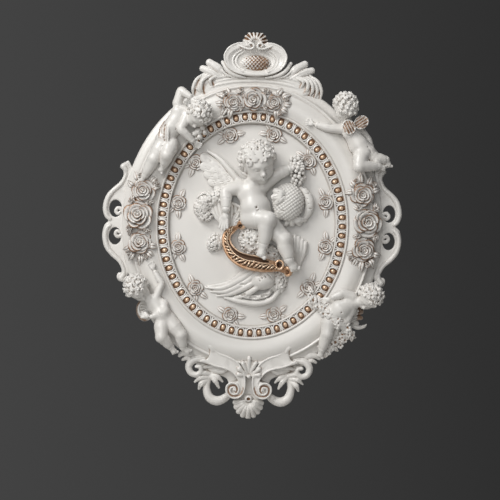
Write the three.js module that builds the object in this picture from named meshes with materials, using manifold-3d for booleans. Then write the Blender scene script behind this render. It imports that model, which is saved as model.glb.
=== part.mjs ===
// Angel wall sculpture: one relief casting with a flat back, hung on a wall.
// Millimetres. It is drawn facing the viewer (x right, y up, z out of the wall)
// and turned at the end so that the wall face lies at y = 0 and up is +Z.

import * as THREE from 'three';
import { mergeVertices } from 'three/addons/utils/BufferGeometryUtils.js';
import ManifoldModule from 'manifold-3d';

const wasm = await ManifoldModule();
wasm.setup();

// Recessed oval field
const fieldHalfWidth = 130;
const fieldHalfHeight = 158;
const fieldThickness = 12;

// Moulding around the field, each width measured outwards
const innerFilletWidth = 3;
const beadChannelWidth = 13.5;
const outerFilletWidth = 4;
const panelWidth = 35;
const edgeFilletWidth = 3.5;
const coveWidth = 15;

// Heights of the moulding above the field
const innerFilletRise = 9;
const channelRise = 5;
const outerFilletRise = 11.5;
const panelRise = 14;
const rimThickness = 13;

// Repeating ornament
const beadCount = 68;
const beadHalfLength = 5;
const beadHalfWidth = 3.9;
const beadRise = 5;
const fieldRoseCount = 12;
const fieldRoseRadius = 14;
const largeRoseRadius = 21;
const smallRoseRadius = 15.5;
const leafLength = 17;
const leafWidth = 10;

// Side brackets
const bracketThickness = 13;
const bracketReach = 30;
const bracketHoleHalfWidth = 10.5;
const bracketHoleHalfHeight = 13.5;
const bracketKnobRadius = 5.4;

// Crest over the frame and pendant under it
const crestThickness = 20;
const cartoucheHalfWidth = 48;
const cartoucheHeight = 52;
const cartoucheThickness = 32;
const cushionHalfWidth = 23;
const crestShellRadius = 19;
const crestShellRibs = 7;
const pendantThickness = 17;
const pendantShellRadius = 30;
const pendantShellRibs = 7;

// Heads of the five cherubs, crown to chin
const centreHead = 58;
const cornerHead = 38;

// Offsets from the rim of the field to each line of the moulding
const channelStart = innerFilletWidth;
const channelEnd = channelStart + beadChannelWidth;
const panelStart = channelEnd + outerFilletWidth;
const panelEnd = panelStart + panelWidth;
const coveStart = panelEnd + edgeFilletWidth;
const outerOffset = coveStart + coveWidth;
const panelMid = panelStart + panelWidth / 2;
const outerX = fieldHalfWidth + outerOffset;
const outerY = fieldHalfHeight + outerOffset;
const panelTop = fieldThickness + panelRise;
const channelFloor = fieldThickness + channelRise;

// A closed geometry becomes a solid with its faces outwards
function solid(geometry) {
  const bare = geometry.clone();
  for (const name of Object.keys(bare.attributes)) {
    if (name !== 'position') bare.deleteAttribute(name);
  }
  const merged = mergeVertices(bare, 1e-4);
  const position = merged.attributes.position;
  const source = merged.index.array;
  const faces = [];
  let volume = 0;
  const a = new THREE.Vector3();
  const b = new THREE.Vector3();
  const c = new THREE.Vector3();
  for (let i = 0; i < source.length; i += 3) {
    const [p, q, r] = [source[i], source[i + 1], source[i + 2]];
    if (p === q || q === r || r === p) continue;
    faces.push(p, q, r);
    a.fromBufferAttribute(position, p);
    b.fromBufferAttribute(position, q);
    c.fromBufferAttribute(position, r);
    volume += a.dot(b.clone().cross(c));
  }
  if (volume < 0) {
    for (let i = 0; i < faces.length; i += 3) {
      [faces[i], faces[i + 1]] = [faces[i + 1], faces[i]];
    }
  }
  return new wasm.Manifold(new wasm.Mesh({
    numProp: 3,
    vertProperties: Float32Array.from(position.array),
    triVerts: Uint32Array.from(faces),
  }));
}

function joined(parts) {
  let level = parts.flat(Infinity);
  while (level.length > 1) {
    const next = [];
    for (let i = 0; i < level.length; i += 2) {
      next.push(i + 1 < level.length ? level[i].add(level[i + 1]) : level[i]);
    }
    level = next;
  }
  return level[0];
}

const vector = (p) => new THREE.Vector3(p[0], p[1], p[2]);

// A point on an oval at a constant distance outside the field rim
function onBand(degrees, offset) {
  const t = THREE.MathUtils.degToRad(degrees);
  const halfWidth = fieldHalfWidth + offset;
  const halfHeight = fieldHalfHeight + offset;
  const outward = Math.atan2(Math.sin(t) / halfHeight, Math.cos(t) / halfWidth);
  return { x: halfWidth * Math.cos(t), y: halfHeight * Math.sin(t), outward };
}

// Angles that stand at equal steps along an oval, starting at the top
function evenAngles(count, offset, phase) {
  const steps = 1440;
  const lengths = [0];
  let last = onBand(90, offset);
  for (let i = 1; i <= steps; i += 1) {
    const here = onBand(90 + (i * 360) / steps, offset);
    lengths.push(lengths[i - 1] + Math.hypot(here.x - last.x, here.y - last.y));
    last = here;
  }
  const angles = [];
  for (let k = 0; k < count; k += 1) {
    const target = (((k + phase) % count) / count) * lengths[steps];
    const i = lengths.findIndex((value) => value >= target);
    angles.push(90 + (i * 360) / steps);
  }
  return angles;
}

// Bar swept through its points: a turned profile, closed on its axis, bent along them
function sweep(points, radii, sides = 6, divide = 1, flat = 1) {
  const curve = new THREE.CatmullRomCurve3(points.map(vector));
  const rings = (points.length - 1) * divide;
  const profile = [new THREE.Vector2(0, 0)];
  for (let i = 0; i <= rings; i += 1) {
    const place = i / divide;
    const low = Math.min(Math.floor(place), radii.length - 2);
    profile.push(new THREE.Vector2(
      THREE.MathUtils.lerp(radii[low], radii[low + 1], place - low), i + 1));
  }
  profile.push(new THREE.Vector2(0, rings + 2));
  const geometry = new THREE.LatheGeometry(profile, sides);

  const frames = [];
  let side = new THREE.Vector3(0, 0, 1);
  for (let i = 0; i <= rings; i += 1) {
    const at = curve.getPoint(i / rings);
    const along = curve.getTangent(i / rings);
    const across = side.clone().addScaledVector(along, -side.dot(along));
    if (across.length() < 0.05) across.set(1, 0, 0).addScaledVector(along, -along.x);
    across.normalize();
    side = across;
    frames.push({ at, along, across, other: along.clone().cross(across) });
  }
  const position = geometry.attributes.position;
  const point = new THREE.Vector3();
  for (let k = 0; k < position.count; k += 1) {
    const row = Math.round(position.getY(k));
    const ring = Math.min(Math.max(row - 1, 0), rings);
    const { at, along, across, other } = frames[ring];
    point.set(0, 0, 0)
      .addScaledVector(across, position.getX(k))
      .addScaledVector(other, position.getZ(k));
    if (row === 0) point.addScaledVector(along, -radii[0] * 0.6);
    if (row === rings + 2) point.addScaledVector(along, radii[radii.length - 1] * 0.6);
    position.setXYZ(k, at.x + point.x, at.y + point.y, at.z + point.z * flat);
  }
  return solid(geometry);
}

// Short rounded bar between two points
function lobe(from, to, startRadius, endRadius, flat = 1, sides = 5) {
  return sweep([from, to], [startRadius, endRadius], sides, 1, flat);
}

function ellipsoid(centre, radii, around = 8, down = 5) {
  const geometry = new THREE.SphereGeometry(1, around, down);
  geometry.rotateX(Math.PI / 2);
  geometry.scale(radii[0], radii[1], radii[2]);
  geometry.translate(centre[0], centre[1], centre[2]);
  return solid(geometry);
}

function bead(centre, radius) {
  const geometry = new THREE.OctahedronGeometry(radius, 0);
  geometry.rotateZ(centre[0]);
  geometry.translate(centre[0], centre[1], centre[2]);
  return solid(geometry);
}

// Lumpy mass, such as a bunch of grapes, a rock or massed flowers
function knobbly(centre, radii, around, down, depth) {
  const geometry = new THREE.SphereGeometry(1, around, down);
  const position = geometry.attributes.position;
  for (let k = 0; k < position.count; k += 1) {
    const [x, y, z] = [position.getX(k), position.getY(k), position.getZ(k)];
    const column = Math.cos((Math.atan2(x, z) * around) / 2);
    const row = Math.cos((Math.acos(THREE.MathUtils.clamp(y, -1, 1)) * down));
    const grow = 1 + depth * column * row * Math.hypot(x, z);
    position.setXYZ(k, x * radii[0] * grow, y * radii[1] * grow, z * radii[2] * grow);
  }
  geometry.translate(centre[0], centre[1], centre[2]);
  return solid(geometry);
}

// Ribbed fan: a turned disc whose rim is drawn out into ribs on one side
function fan(root, radius, ribs, startDegrees, endDegrees, base, rise, tilt = 0) {
  const start = THREE.MathUtils.degToRad(startDegrees);
  const end = THREE.MathUtils.degToRad(endDegrees);
  const parts = ribs * 2;
  const gap = Math.PI * 2 - (end - start);
  const spare = Math.max(2, Math.round(gap / 1.4));
  const sides = parts + spare;
  const geometry = new THREE.LatheGeometry([
    new THREE.Vector2(0, base),
    new THREE.Vector2(1, base),
    new THREE.Vector2(1, base + rise * 0.55),
    new THREE.Vector2(0.55, base + rise),
    new THREE.Vector2(0, base + rise * 0.8),
  ], sides);
  const position = geometry.attributes.position;
  for (let k = 0; k < position.count; k += 1) {
    const share = Math.hypot(position.getX(k), position.getZ(k));
    const turn = Math.atan2(position.getX(k), position.getZ(k));
    const slot = ((Math.round((turn / (Math.PI * 2)) * sides) % sides) + sides) % sides;
    const inFan = slot <= parts;
    const angle = inFan ? start + ((end - start) * slot) / parts
      : end + (gap * (slot - parts)) / spare;
    const ridge = slot % 2 === 1;
    const bow = inFan ? 0.86 + 0.14 * Math.sin((Math.PI * slot) / parts) : 0.25;
    const reach = share * radius * bow * (inFan && !ridge ? 0.88 : 1);
    const height = position.getY(k);
    const groove = inFan && !ridge && share > 0.01 && height > base ? rise * 0.35 : 0;
    position.setXYZ(k, root[0] + Math.cos(angle) * reach, root[1] + Math.sin(angle) * reach,
      height - groove + share * share * tilt);
  }
  return solid(geometry);
}

// Flat piece with a bevelled front edge, cut from a smooth closed outline
function plate(outline, thickness, bevel, divisions, back = 0) {
  const curve = new THREE.CatmullRomCurve3(
    outline.map(([x, y]) => new THREE.Vector3(x, y, 0)), true, 'centripetal');
  const points = curve.getPoints(divisions).slice(0, -1);
  const shape = new THREE.Shape(points.map((p) => new THREE.Vector2(p.x, p.y)));
  const geometry = new THREE.ExtrudeGeometry(shape, {
    depth: thickness - bevel,
    bevelEnabled: true,
    bevelThickness: bevel,
    bevelSize: bevel,
    bevelOffset: -bevel,
    bevelSegments: 1,
    steps: 1,
  });
  geometry.translate(0, 0, back);
  const whole = solid(geometry);
  return whole.trimByPlane([0, 0, 1], back);
}

const mirrored = (list) => list.map((p) => [-p[0], ...p.slice(1)]);
const bothSides = (piece) => [piece, piece.mirror([1, 0, 0])];

// Oval body: each ring of the profile keeps its distance from the field rim
function ovalBody() {
  const filletTop = fieldThickness + innerFilletRise;
  const outerFilletTop = fieldThickness + outerFilletRise;
  const profile = [
    [outerOffset, 0],
    [outerOffset, rimThickness * 0.65],
    [outerOffset - 4, rimThickness],
    [coveStart + 4, rimThickness + 2],
    [coveStart - edgeFilletWidth / 2, panelTop - 4.6],
    [panelEnd - 1, panelTop - 6],
    [panelMid + 1, panelTop],
    [panelStart, panelTop - 4.2],
    [channelEnd + outerFilletWidth / 3, outerFilletTop],
    [channelEnd - 0.4, channelFloor],
    [channelStart, channelFloor],
    [channelStart / 2, filletTop],
    [-0.8, fieldThickness],
  ];
  const points = profile.map(([offset, height]) => (
    new THREE.Vector2(fieldHalfWidth + offset, height)));
  points.unshift(new THREE.Vector2(0, 0));
  points.push(new THREE.Vector2(0, fieldThickness));
  const geometry = new THREE.LatheGeometry(points, 36);
  const position = geometry.attributes.position;
  for (let i = 0; i < position.count; i += 1) {
    const x = position.getX(i);
    const z = position.getZ(i);
    const radius = Math.hypot(x, z);
    const reach = radius < 1 ? 0 : fieldHalfHeight + radius - fieldHalfWidth;
    const share = radius < 1 ? 0 : 1 / radius;
    position.setXYZ(i, x, -z * share * reach, position.getY(i));
  }
  return solid(geometry);
}

function beadRow() {
  const offset = channelStart + beadChannelWidth / 2;
  return evenAngles(beadCount, offset, 0).map((angle) => {
    const { x, y, outward } = onBand(angle, offset);
    const geometry = new THREE.OctahedronGeometry(1, 0);
    geometry.rotateZ(Math.PI / 4);
    geometry.scale(beadHalfLength * 1.25, beadHalfWidth * 1.25, beadRise + 1);
    geometry.rotateZ(outward);
    geometry.translate(x, y, channelFloor - 1);
    return solid(geometry);
  });
}

// Open rose: rings of petals that step up towards the heart
function rose(x, y, base, radius, rise, turn, sides = 7) {
  const rings = [
    [0.94, -2.5], [1, rise * 0.5], [0.6, rise], [0, rise * 0.7],
  ];
  const points = rings.map(([r, h]) => new THREE.Vector2(r * radius, h));
  points.unshift(new THREE.Vector2(0, -2.5));
  const geometry = new THREE.LatheGeometry(points, sides);
  geometry.rotateX(Math.PI / 2);
  geometry.rotateZ(turn);
  geometry.translate(x, y, base);
  return solid(geometry);
}

function leaf(x, y, base, length, width, rise, turn) {
  const geometry = new THREE.OctahedronGeometry(1, 0);
  geometry.scale(length / 2, width / 2, rise);
  geometry.rotateZ(turn);
  geometry.translate(x + Math.cos(turn) * length * 0.45,
    y + Math.sin(turn) * length * 0.45, base);
  return solid(geometry);
}

function fieldRoses() {
  const offset = -fieldRoseRadius + 3;
  const parts = [];
  for (const angle of evenAngles(fieldRoseCount, offset, 0.5)) {
    const { x, y, outward } = onBand(angle, offset);
    parts.push(rose(x, y, fieldThickness, fieldRoseRadius, 7, outward, 6));
  }
  return parts;
}

function roseCluster(angles, offset, stepBack) {
  const parts = [];
  angles.forEach((angle, index) => {
    const large = index === 1;
    const radius = large ? largeRoseRadius : smallRoseRadius;
    const { x, y, outward } = onBand(angle, large ? offset + stepBack : offset);
    parts.push(rose(x, y, panelTop - 4, radius, large ? 14 : 12, outward + index, 6));
    if (large) return;
    for (const spread of [-0.6, 0.6]) {
      const turn = outward + (index === 0 ? 1 : -1) * (Math.PI / 2 + spread);
      parts.push(leaf(x + Math.cos(turn) * radius * 0.75, y + Math.sin(turn) * radius * 0.75,
        panelTop - 2, leafLength, leafWidth, 5, turn));
    }
  });
  return parts;
}

// C-scroll bracket on one flank, pierced twice, with a curled knob in each opening
function bracket() {
  const reach = outerX + bracketReach;
  const outline = [
    [outerX - 12, 92], [outerX - 4, 94.5], [outerX + 3, 90], [outerX + 4, 85],
    [outerX - 1, 82.5], [outerX - 3, 74], [outerX + 4, 64], [outerX + 17, 51],
    [reach - 3, 36], [reach, 22], [reach - 3, 9], [outerX + 21, 2.5],
    [reach - 3, -5], [reach, -18], [reach - 2, -30], [reach - 8, -42],
    [outerX + 14, -51], [outerX + 4, -59], [outerX - 1, -68], [outerX - 2, -77],
    [outerX + 4, -79], [outerX + 6, -85], [outerX + 3, -91.5], [outerX - 3, -92],
    [outerX - 10, -84], [outerX - 30, -40], [outerX - 30, 40],
  ];
  let body = plate(outline, bracketThickness, 3, 30);
  const parts = [];
  for (const side of [1, -1]) {
    const y = side * 21.5;
    const x = reach - 9 - bracketHoleHalfWidth;
    const opening = new THREE.CylinderGeometry(1, 1, bracketThickness * 3, 8);
    opening.rotateX(Math.PI / 2);
    opening.scale(bracketHoleHalfWidth, bracketHoleHalfHeight, 1);
    opening.translate(x, y, 0);
    body = body.subtract(solid(opening));
    const knob = new THREE.CylinderGeometry(0.8, 1, bracketThickness - 1, 6);
    knob.rotateX(Math.PI / 2);
    knob.scale(bracketKnobRadius * 1.6, bracketKnobRadius, 1);
    knob.translate(x - 5, y - side * 4.5, (bracketThickness - 1) / 2);
    parts.push(solid(knob));
  }
  return joined([body, parts]);
}

function crest() {
  const parts = [];
  const base = [
    [0, -32], [60, -34], [96, -22], [90, -9], [79, 2], [50, 7], [0, 8],
    [-50, 7], [-79, 2], [-90, -9], [-96, -22], [-60, -34],
  ].map(([x, y]) => [x, outerY + y]);
  parts.push(plate(base, crestThickness, 2.5, 16));

  // Scrolled cartouche with a dished middle and a latticed cushion
  const half = [
    [0.42, 0.97], [0.78, 0.85], [0.98, 0.62], [1, 0.42], [0.84, 0.2], [0.5, 0.05],
  ].map(([x, y]) => [x * cartoucheHalfWidth, outerY + y * cartoucheHeight]);
  const outline = [[0, outerY + cartoucheHeight], ...half, [0, outerY],
    ...mirrored(half).reverse()];
  const dish = ellipsoid([0, outerY + cartoucheHeight * 0.43, cartoucheThickness + 3],
    [cartoucheHalfWidth * 0.74, cartoucheHeight * 0.34, 11], 10, 5);
  parts.push(plate(outline, cartoucheThickness, 5, 20).subtract(dish));
  parts.push(ellipsoid([0, outerY + cartoucheHeight * 0.38, cartoucheThickness - 8],
    [cushionHalfWidth, cushionHalfWidth * 0.48, 8], 8, 4));

  // Leaf lobes on both flanks
  const tips = [[55, 19, 5.5], [70, 17, 6], [81, 8, 5]];
  for (const [x, y, radius] of tips) {
    parts.push(bothSides(lobe([44, outerY, crestThickness - 6],
      [x, outerY + y, crestThickness - 4], radius * 0.9, radius, 1.1)));
  }

  // Small shell at the very top
  const shellY = outerY + cartoucheHeight - 5;
  parts.push(fan([0, shellY], crestShellRadius, crestShellRibs, -14, 194, 12, 14, 4));

  // Curled leaves where the crest meets the oval
  for (let i = 0; i < 2; i += 1) {
    const shift = i * 17;
    parts.push(bothSides(sweep([
      [54 + shift, outerY - 3 - i * 2, rimThickness + 4],
      [69 + shift, outerY - 9 - i * 6, rimThickness + 9],
      [73 + shift, outerY - 28 - i * 3, rimThickness + 3],
    ], [5, 8.5, 5], 4)));
  }
  return parts;
}

function pendant() {
  const parts = [];
  const bottom = -outerY;
  const half = [
    [88, 30], [86, 16], [68, 0], [46, -4], [34, -10], [30, -24], [22, -37],
  ].map(([x, y]) => [x, bottom + y]);
  const outline = [[0, bottom + 34], ...half, [0, bottom - 44], ...mirrored(half).reverse()];
  parts.push(plate(outline, pendantThickness - 5, 2, 18));

  // Broad scroll bands that curl into volutes
  const depth = pendantThickness - 4;
  parts.push(bothSides(sweep([
    [62, bottom + 27, depth + 2], [36, bottom + 18, depth + 4],
    [17, bottom + 5, depth + 5], [9.5, bottom - 11, depth + 6], [12, bottom - 28, depth + 6],
    [22, bottom - 36, depth + 6], [31, bottom - 28, depth + 7], [26, bottom - 19, depth + 9],
  ], [8, 9.5, 7.5, 6, 5.5, 5, 4.6, 4.4], 5, 1, 0.9)));

  // Curling limbs with leaf tips beside the volutes
  parts.push(bothSides(sweep([
    [26, bottom - 30, depth - 4], [38, bottom - 39, depth - 3], [51, bottom - 43, depth - 2],
    [62, bottom - 35, depth - 2], [66, bottom - 20, depth - 3], [60, bottom - 3, depth - 4],
  ], [4, 6.5, 7.5, 7, 6, 5], 5)));
  const tips = [[74, -21, 5], [47, -21, 5.5]];
  for (const [x, y, radius] of tips) {
    parts.push(bothSides(lobe([62, bottom - 4, depth - 2], [x, bottom + y, depth - 3],
      radius + 1.5, radius * 0.7, 1, 4)));
  }

  // Outer curls under the rim
  parts.push(bothSides(sweep([
    [58, bottom + 18, depth], [74, bottom + 22, depth + 2], [89, bottom + 17, depth + 2],
    [93, bottom + 5, depth + 2], [84, bottom - 1, depth + 3], [76, bottom + 7, depth + 4],
  ], [3, 7, 7.5, 6.5, 5.5, 4.5], 5)));
  parts.push(bothSides(lobe([84, bottom + 26, depth - 3], [107, bottom + 27, depth - 4], 8, 4.5)));

  // Leaf between the bands, with a bud at its root
  parts.push(fan([0, bottom - 2], 33, 4, 20, 160, depth - 2, 9));
  parts.push(ellipsoid([0, bottom - 4, depth + 5], [4.5, 4.5, 5], 6, 4));

  // Shell at the lowest point
  parts.push(fan([0, bottom - 40], pendantShellRadius, pendantShellRibs, -174, -6, 0, depth + 5));
  return parts;
}

// Thickness of a cherub's body, in head heights
const girths = {
  neck: 0.2, chest: 0.32, belly: 0.35, pelvis: 0.33, shoulder: 0.19, elbow: 0.155,
  wrist: 0.12, hand: 0.14, thigh: 0.27, knee: 0.21, ankle: 0.14, toe: 0.12,
};

// Head as one worked ball: narrower jaw, full cheeks, and curls behind the hair line
function cherubHead(place, height, face, crown) {
  const forward = vector(face).normalize();
  const right = vector(crown).cross(forward).normalize();
  const up = forward.clone().cross(right).normalize();
  const basis = new THREE.Matrix4().makeBasis(right, up, forward);
  const geometry = new THREE.SphereGeometry(1, 8, 7);
  const position = geometry.attributes.position;
  for (let k = 0; k < position.count; k += 1) {
    const [x, y, z] = [position.getX(k), position.getY(k), position.getZ(k)];
    const hair = z < 0.1 + Math.max(y, 0) * 0.85 && y > -0.75;
    const lock = Math.cos(Math.atan2(x, z) * 5) * Math.cos(y * 7) * Math.hypot(x, z);
    const curl = hair ? 1.1 + 0.12 * lock : 1;
    const jaw = y < 0 ? 1 + y * 0.22 : 1;
    const nose = z > 0.93 && y < 0 ? 0.1 : 0;
    position.setXYZ(k, x * 0.42 * jaw * curl * height, (y * 0.48 - 0.02) * curl * height,
      (z * 0.41 + (z > 0 && y < 0 ? -y * 0.06 : 0) + nose) * curl * height);
  }
  geometry.applyMatrix4(basis);
  geometry.translate(...place);
  return solid(geometry);
}

// A cherub from the places of its joints, each measured from its anchor
function cherub(pose, anchor, height, sides) {
  const at = (name) => {
    const p = pose[name];
    return [anchor[0] + p[0], anchor[1] + p[1], anchor[2] + p[2]];
  };
  const between = (first, second, share) => (
    at(first).map((value, i) => value + (at(second)[i] - value) * share));
  const r = (name) => girths[name] * height;
  const parts = [
    sweep([at('pelvis'), at('belly'), at('chest'), at('neck'), between('neck', 'head', 0.5)],
      [r('pelvis'), r('belly'), r('chest'), r('neck'), r('neck')], 6, 1, 1.2),
    cherubHead(at('head'), height, pose.face, pose.crown),
  ];
  for (const side of ['A', 'B']) {
    parts.push(
      sweep([at(`shoulder${side}`), at(`elbow${side}`), at(`wrist${side}`), at(`hand${side}`)],
        [r('shoulder'), r('elbow') * 1.1, r('wrist'), r('hand')], sides),
      sweep([at(`hip${side}`), between(`hip${side}`, `knee${side}`, 0.5), at(`knee${side}`),
        at(`ankle${side}`), at(`toe${side}`)],
      [r('thigh'), r('thigh') * 0.96, r('knee'), r('ankle'), r('toe')], sides),
    );
  }
  return parts;
}

// Joint places; the third number is the height over the surface behind
const poses = {
  centre: {
    face: [0.38, -0.35, 0.86], crown: [-0.22, 0.93, 0.3],
    head: [1, 80, 31], neck: [-6, 53, 22], chest: [-7, 36, 15], belly: [-1, 14, 17],
    pelvis: [2, 0, 14], shoulderA: [-20, 43, 16], elbowA: [-45, 36, 20],
    wristA: [-44, 6, 26], handA: [-43, -6, 26], shoulderB: [8, 46, 15],
    elbowB: [36, 66, 14], wristB: [53, 74, 15], handB: [62, 76, 14],
    hipA: [-6, -2, 18], kneeA: [24, -4, 38], ankleA: [14, -46, 31], toeA: [9, -61, 30],
    hipB: [12, -5, 14], kneeB: [47, -36, 26], ankleB: [55, -66, 19], toeB: [64, -82, 16],
  },
  upperLeft: {
    angle: 139.8, offset: 39.9, face: [-0.45, -0.62, 0.64], crown: [0.68, 0.45, 0.57],
    head: [46, 47, 15], neck: [32, 40, 9], chest: [19, 37, 5], belly: [7, 19, 5],
    pelvis: [-3, 0, 4], shoulderA: [16, 47, 9], elbowA: [9, 70, 10],
    wristA: [27, 65, 16], handA: [36, 60, 17], shoulderB: [24, 32, 11],
    elbowB: [16, 12, 18], wristB: [33, -1, 13], handB: [41, -7, 10],
    hipA: [-8, -4, 5], kneeA: [-28, -29, 9], ankleA: [-38, -54, 3], toeA: [-44, -64, 2],
    hipB: [2, -7, 6], kneeB: [-3, -24, 18], ankleB: [-8, -38, 8], toeB: [-13, -47, 6],
  },
  upperRight: {
    angle: 31.3, offset: 69.3, face: [0.1, -0.5, -0.86], crown: [-0.1, 0.9, -0.42],
    head: [-27, 70, 12], neck: [-26, 48, 6], chest: [-20, 29, 1], belly: [-8, 9, 1],
    pelvis: [2, -2, 1], shoulderA: [-30, 33, 3], elbowA: [-53, 33, 4],
    wristA: [-74, 39, 3], handA: [-84, 41, 2], shoulderB: [-10, 32, -1],
    elbowB: [4, 20, -4], wristB: [11, 8, -4], handB: [12, 0, -4],
    hipA: [-4, -4, 6], kneeA: [-8, -26, 16], ankleA: [22, -24, 6], toeA: [34, -27, 2],
    hipB: [6, -4, -1], kneeB: [20, -14, 2], ankleB: [35, -13, -1], toeB: [41, -25, -3],
  },
  lowerLeft: {
    angle: -135.6, offset: 54.7, face: [-0.35, -0.45, 0.82], crown: [-0.5, 0.75, 0.43],
    head: [-41, 46, 12], neck: [-27, 33, 7], chest: [-15, 23, 3], belly: [-5, 9, 4],
    pelvis: [2, -2, 2], shoulderA: [-12, 32, 6], elbowA: [-6, 55, 5],
    wristA: [-16, 72, 4], handA: [-21, 80, 3], shoulderB: [-2, 24, 8],
    elbowB: [-1, 10, 15], wristB: [-20, 4, 14], handB: [-28, 5, 12],
    hipA: [-4, -3, 5], kneeA: [-4, -27, 13], ankleA: [10, -42, 4], toeA: [16, -50, 3],
    hipB: [8, -3, 3], kneeB: [26, -23, 7], ankleB: [29, -43, 0], toeB: [39, -51, -1],
  },
  lowerRight: {
    angle: -42.9, offset: 43.3, face: [0.45, -0.35, 0.82], crown: [0.75, 0.6, 0.25],
    head: [55, 28, 12], neck: [39, 22, 9], chest: [25, 17, 5], belly: [12, 9, 7],
    pelvis: [0, 0, 4], shoulderA: [29, 29, 9], elbowA: [15, 34, 12],
    wristA: [0, 28, 13], handA: [-9, 23, 11], shoulderB: [28, 8, 6],
    elbowB: [22, -6, 9], wristB: [10, -12, 9], handB: [3, -13, 7],
    hipA: [-4, 2, 5], kneeA: [-14, -25, 11], ankleA: [-18, -54, 4], toeA: [-24, -77, 0],
    hipB: [4, -4, 3], kneeB: [4, -28, 3], ankleB: [-2, -50, -4], toeB: [-5, -60, -8],
  },
};

function cornerCherub(name) {
  const pose = poses[name];
  const { x, y } = onBand(pose.angle, pose.offset);
  return cherub(pose, [x, y, panelTop], cornerHead, 5);
}

function wings() {
  const [ul, ur, ll, lr] = ['upperLeft', 'upperRight', 'lowerLeft', 'lowerRight'].map((name) => (
    onBand(poses[name].angle, poses[name].offset)));
  const z = panelTop;
  return [
    fan([-18, 58], 78, 4, 128, 182, fieldThickness, 17, 5),
    fan([ul.x + 4, ul.y + 30], 24, 3, 170, 260, z - 12, 14),
    fan([ur.x - 14, ur.y + 40], 28, 4, -30, 42, z - 16, 16),
    fan([ur.x - 14, ur.y + 42], 16, 3, 190, 275, z - 2, 16),
    fan([ll.x - 14, ll.y + 16], 36, 4, 168, 240, z - 22, 16),
    fan([lr.x + 22, lr.y + 3], 32, 3, -42, 12, z - 22, 14),
  ];
}

// Flower garland that falls from the lower right cherub's hands
function garland() {
  const { x, y } = onBand(poses.lowerRight.angle, poses.lowerRight.offset);
  const places = [[-31, 37], [-23, 25], [-14, 12], [-6, 0], [6, -12], [17, -22], [12, -34],
    [1, -46], [-8, -58]];
  const radii = places.map((_, index) => (index % 2 ? 12 : 7.5));
  const points = places.map(([dx, dy], index) => (
    [x + dx, y + dy, panelTop - 3 - Math.max(index - 3, 0) * 3]));
  return sweep(points, radii, 6);
}

// Group on the field: rock, carp, shell boat, wave, flowers and grapes
function centreGroup() {
  const z = fieldThickness;
  const parts = [cherub(poses.centre, [4, 14, z], centreHead, 6)];

  // Rock under the seat and behind the wave
  parts.push(knobbly([2, -24, z + 6], [24, 24, 16], 8, 5, 0.1));
  parts.push(lobe([34, -42, z + 6], [44, -96, z + 3], 14, 14));
  parts.push(lobe([68, -18, z + 2], [78, -46, z + 2], 11, 12, 0.9));

  // Carp held at the hip, head down, with its fins
  parts.push(ellipsoid([55, 36, z + 13], [25, 30, 18], 8, 6));
  parts.push(lobe([50, 32, z + 12], [39, 14, z + 12], 10, 8));
  parts.push(lobe([52, 50, z + 26], [37, 42, z + 25], 7, 6));
  parts.push(sweep([[68, 56, z + 6], [84, 46, z + 8], [88, 28, z + 8], [80, 12, z + 6]],
    [4, 7, 8, 5], 5));
  parts.push(lobe([60, 12, z + 8], [80, 8, z + 6], 8, 5));

  // Bunch of grapes in the raised hand
  parts.push(knobbly([67, 80, z + 9], [14, 24, 15], 8, 7, 0.14));

  // Ribbed shell boat
  parts.push(sweep([[-22, 0, z + 10], [-38, -12, z + 14], [-40, -30, z + 16],
    [-27, -50, z + 19], [-2, -58, z + 20], [24, -60, z + 20], [44, -62, z + 18], [60, -74, z + 10]],
  [5, 6, 8, 10, 12, 11, 9, 6], 6));

  // Bouquet: stems gathered under the hand, flowers above, frill below
  parts.push(fan([-44, -10], 42, 4, 92, 148, z - 2, 15));
  parts.push(rose(-59, 33, z + 12, 10, 5, 0, 5));
  parts.push(knobbly([-74, 26, z + 2], [14, 21, 11], 8, 5, 0.14));
  parts.push(lobe([-31, 8, z + 4], [-30, 28, z + 6], 8, 8));
  parts.push(fan([-44, -10], 32, 3, 205, 262, z - 2, 12));

  // Wave: strands that gather into a rounded crest
  parts.push(fan([12, -70], 90, 4, 196, 228, z - 2, 13));
  parts.push(ellipsoid([16, -88, z + 6], [21, 17, 15], 8, 4));
  parts.push(sweep([[-34, -114, z], [-8, -121, z + 3], [16, -124, z + 3], [38, -111, z + 2]],
    [3, 5, 5.5, 5], 4));
  return parts;
}

const whole = joined([
  ovalBody(), beadRow(), fieldRoses(),
  roseCluster([103, 90.5, 78], panelMid - 2, 1),
  roseCluster([166, 177, -171], panelMid + 7, 1),
  roseCluster([-10, 2, 14], panelMid + 8, 2),
  bothSides(bracket()), crest(), pendant(),
  ['upperLeft', 'upperRight', 'lowerLeft', 'lowerRight'].map(cornerCherub),
  wings(), garland(), centreGroup(),
]);

// Nothing stands behind the wall face, and gaps shut in between touching shapes
// are cast solid, so only the outer skin is kept
const skins = whole.trimByPlane([0, 0, 1], 0).decompose();
const casting = skins.reduce((best, skin) => (skin.volume() > best.volume() ? skin : best));

function toGeometry(manifold) {
  const mesh = manifold.getMesh();
  const geometry = new THREE.BufferGeometry();
  geometry.setAttribute('position',
    new THREE.BufferAttribute(Float32Array.from(mesh.vertProperties), 3));
  geometry.setIndex(new THREE.BufferAttribute(Uint32Array.from(mesh.triVerts), 1));
  geometry.computeVertexNormals();
  return geometry;
}

const painted = new THREE.MeshStandardMaterial({ color: 0xe4e1dc, roughness: 0.45 });
painted.name = 'painted_resin';

const plaque = new THREE.Mesh(toGeometry(casting), painted);
plaque.name = 'angel_plaque';
plaque.rotation.x = Math.PI / 2;

const group = new THREE.Group();
group.name = 'angel_wall_sculpture';
group.add(plaque);

export default group;
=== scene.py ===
from math import atan2, cos, pi, radians, sin, sqrt

import bpy
import numpy as np
import openvdb
from mathutils import Matrix, Vector


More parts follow.
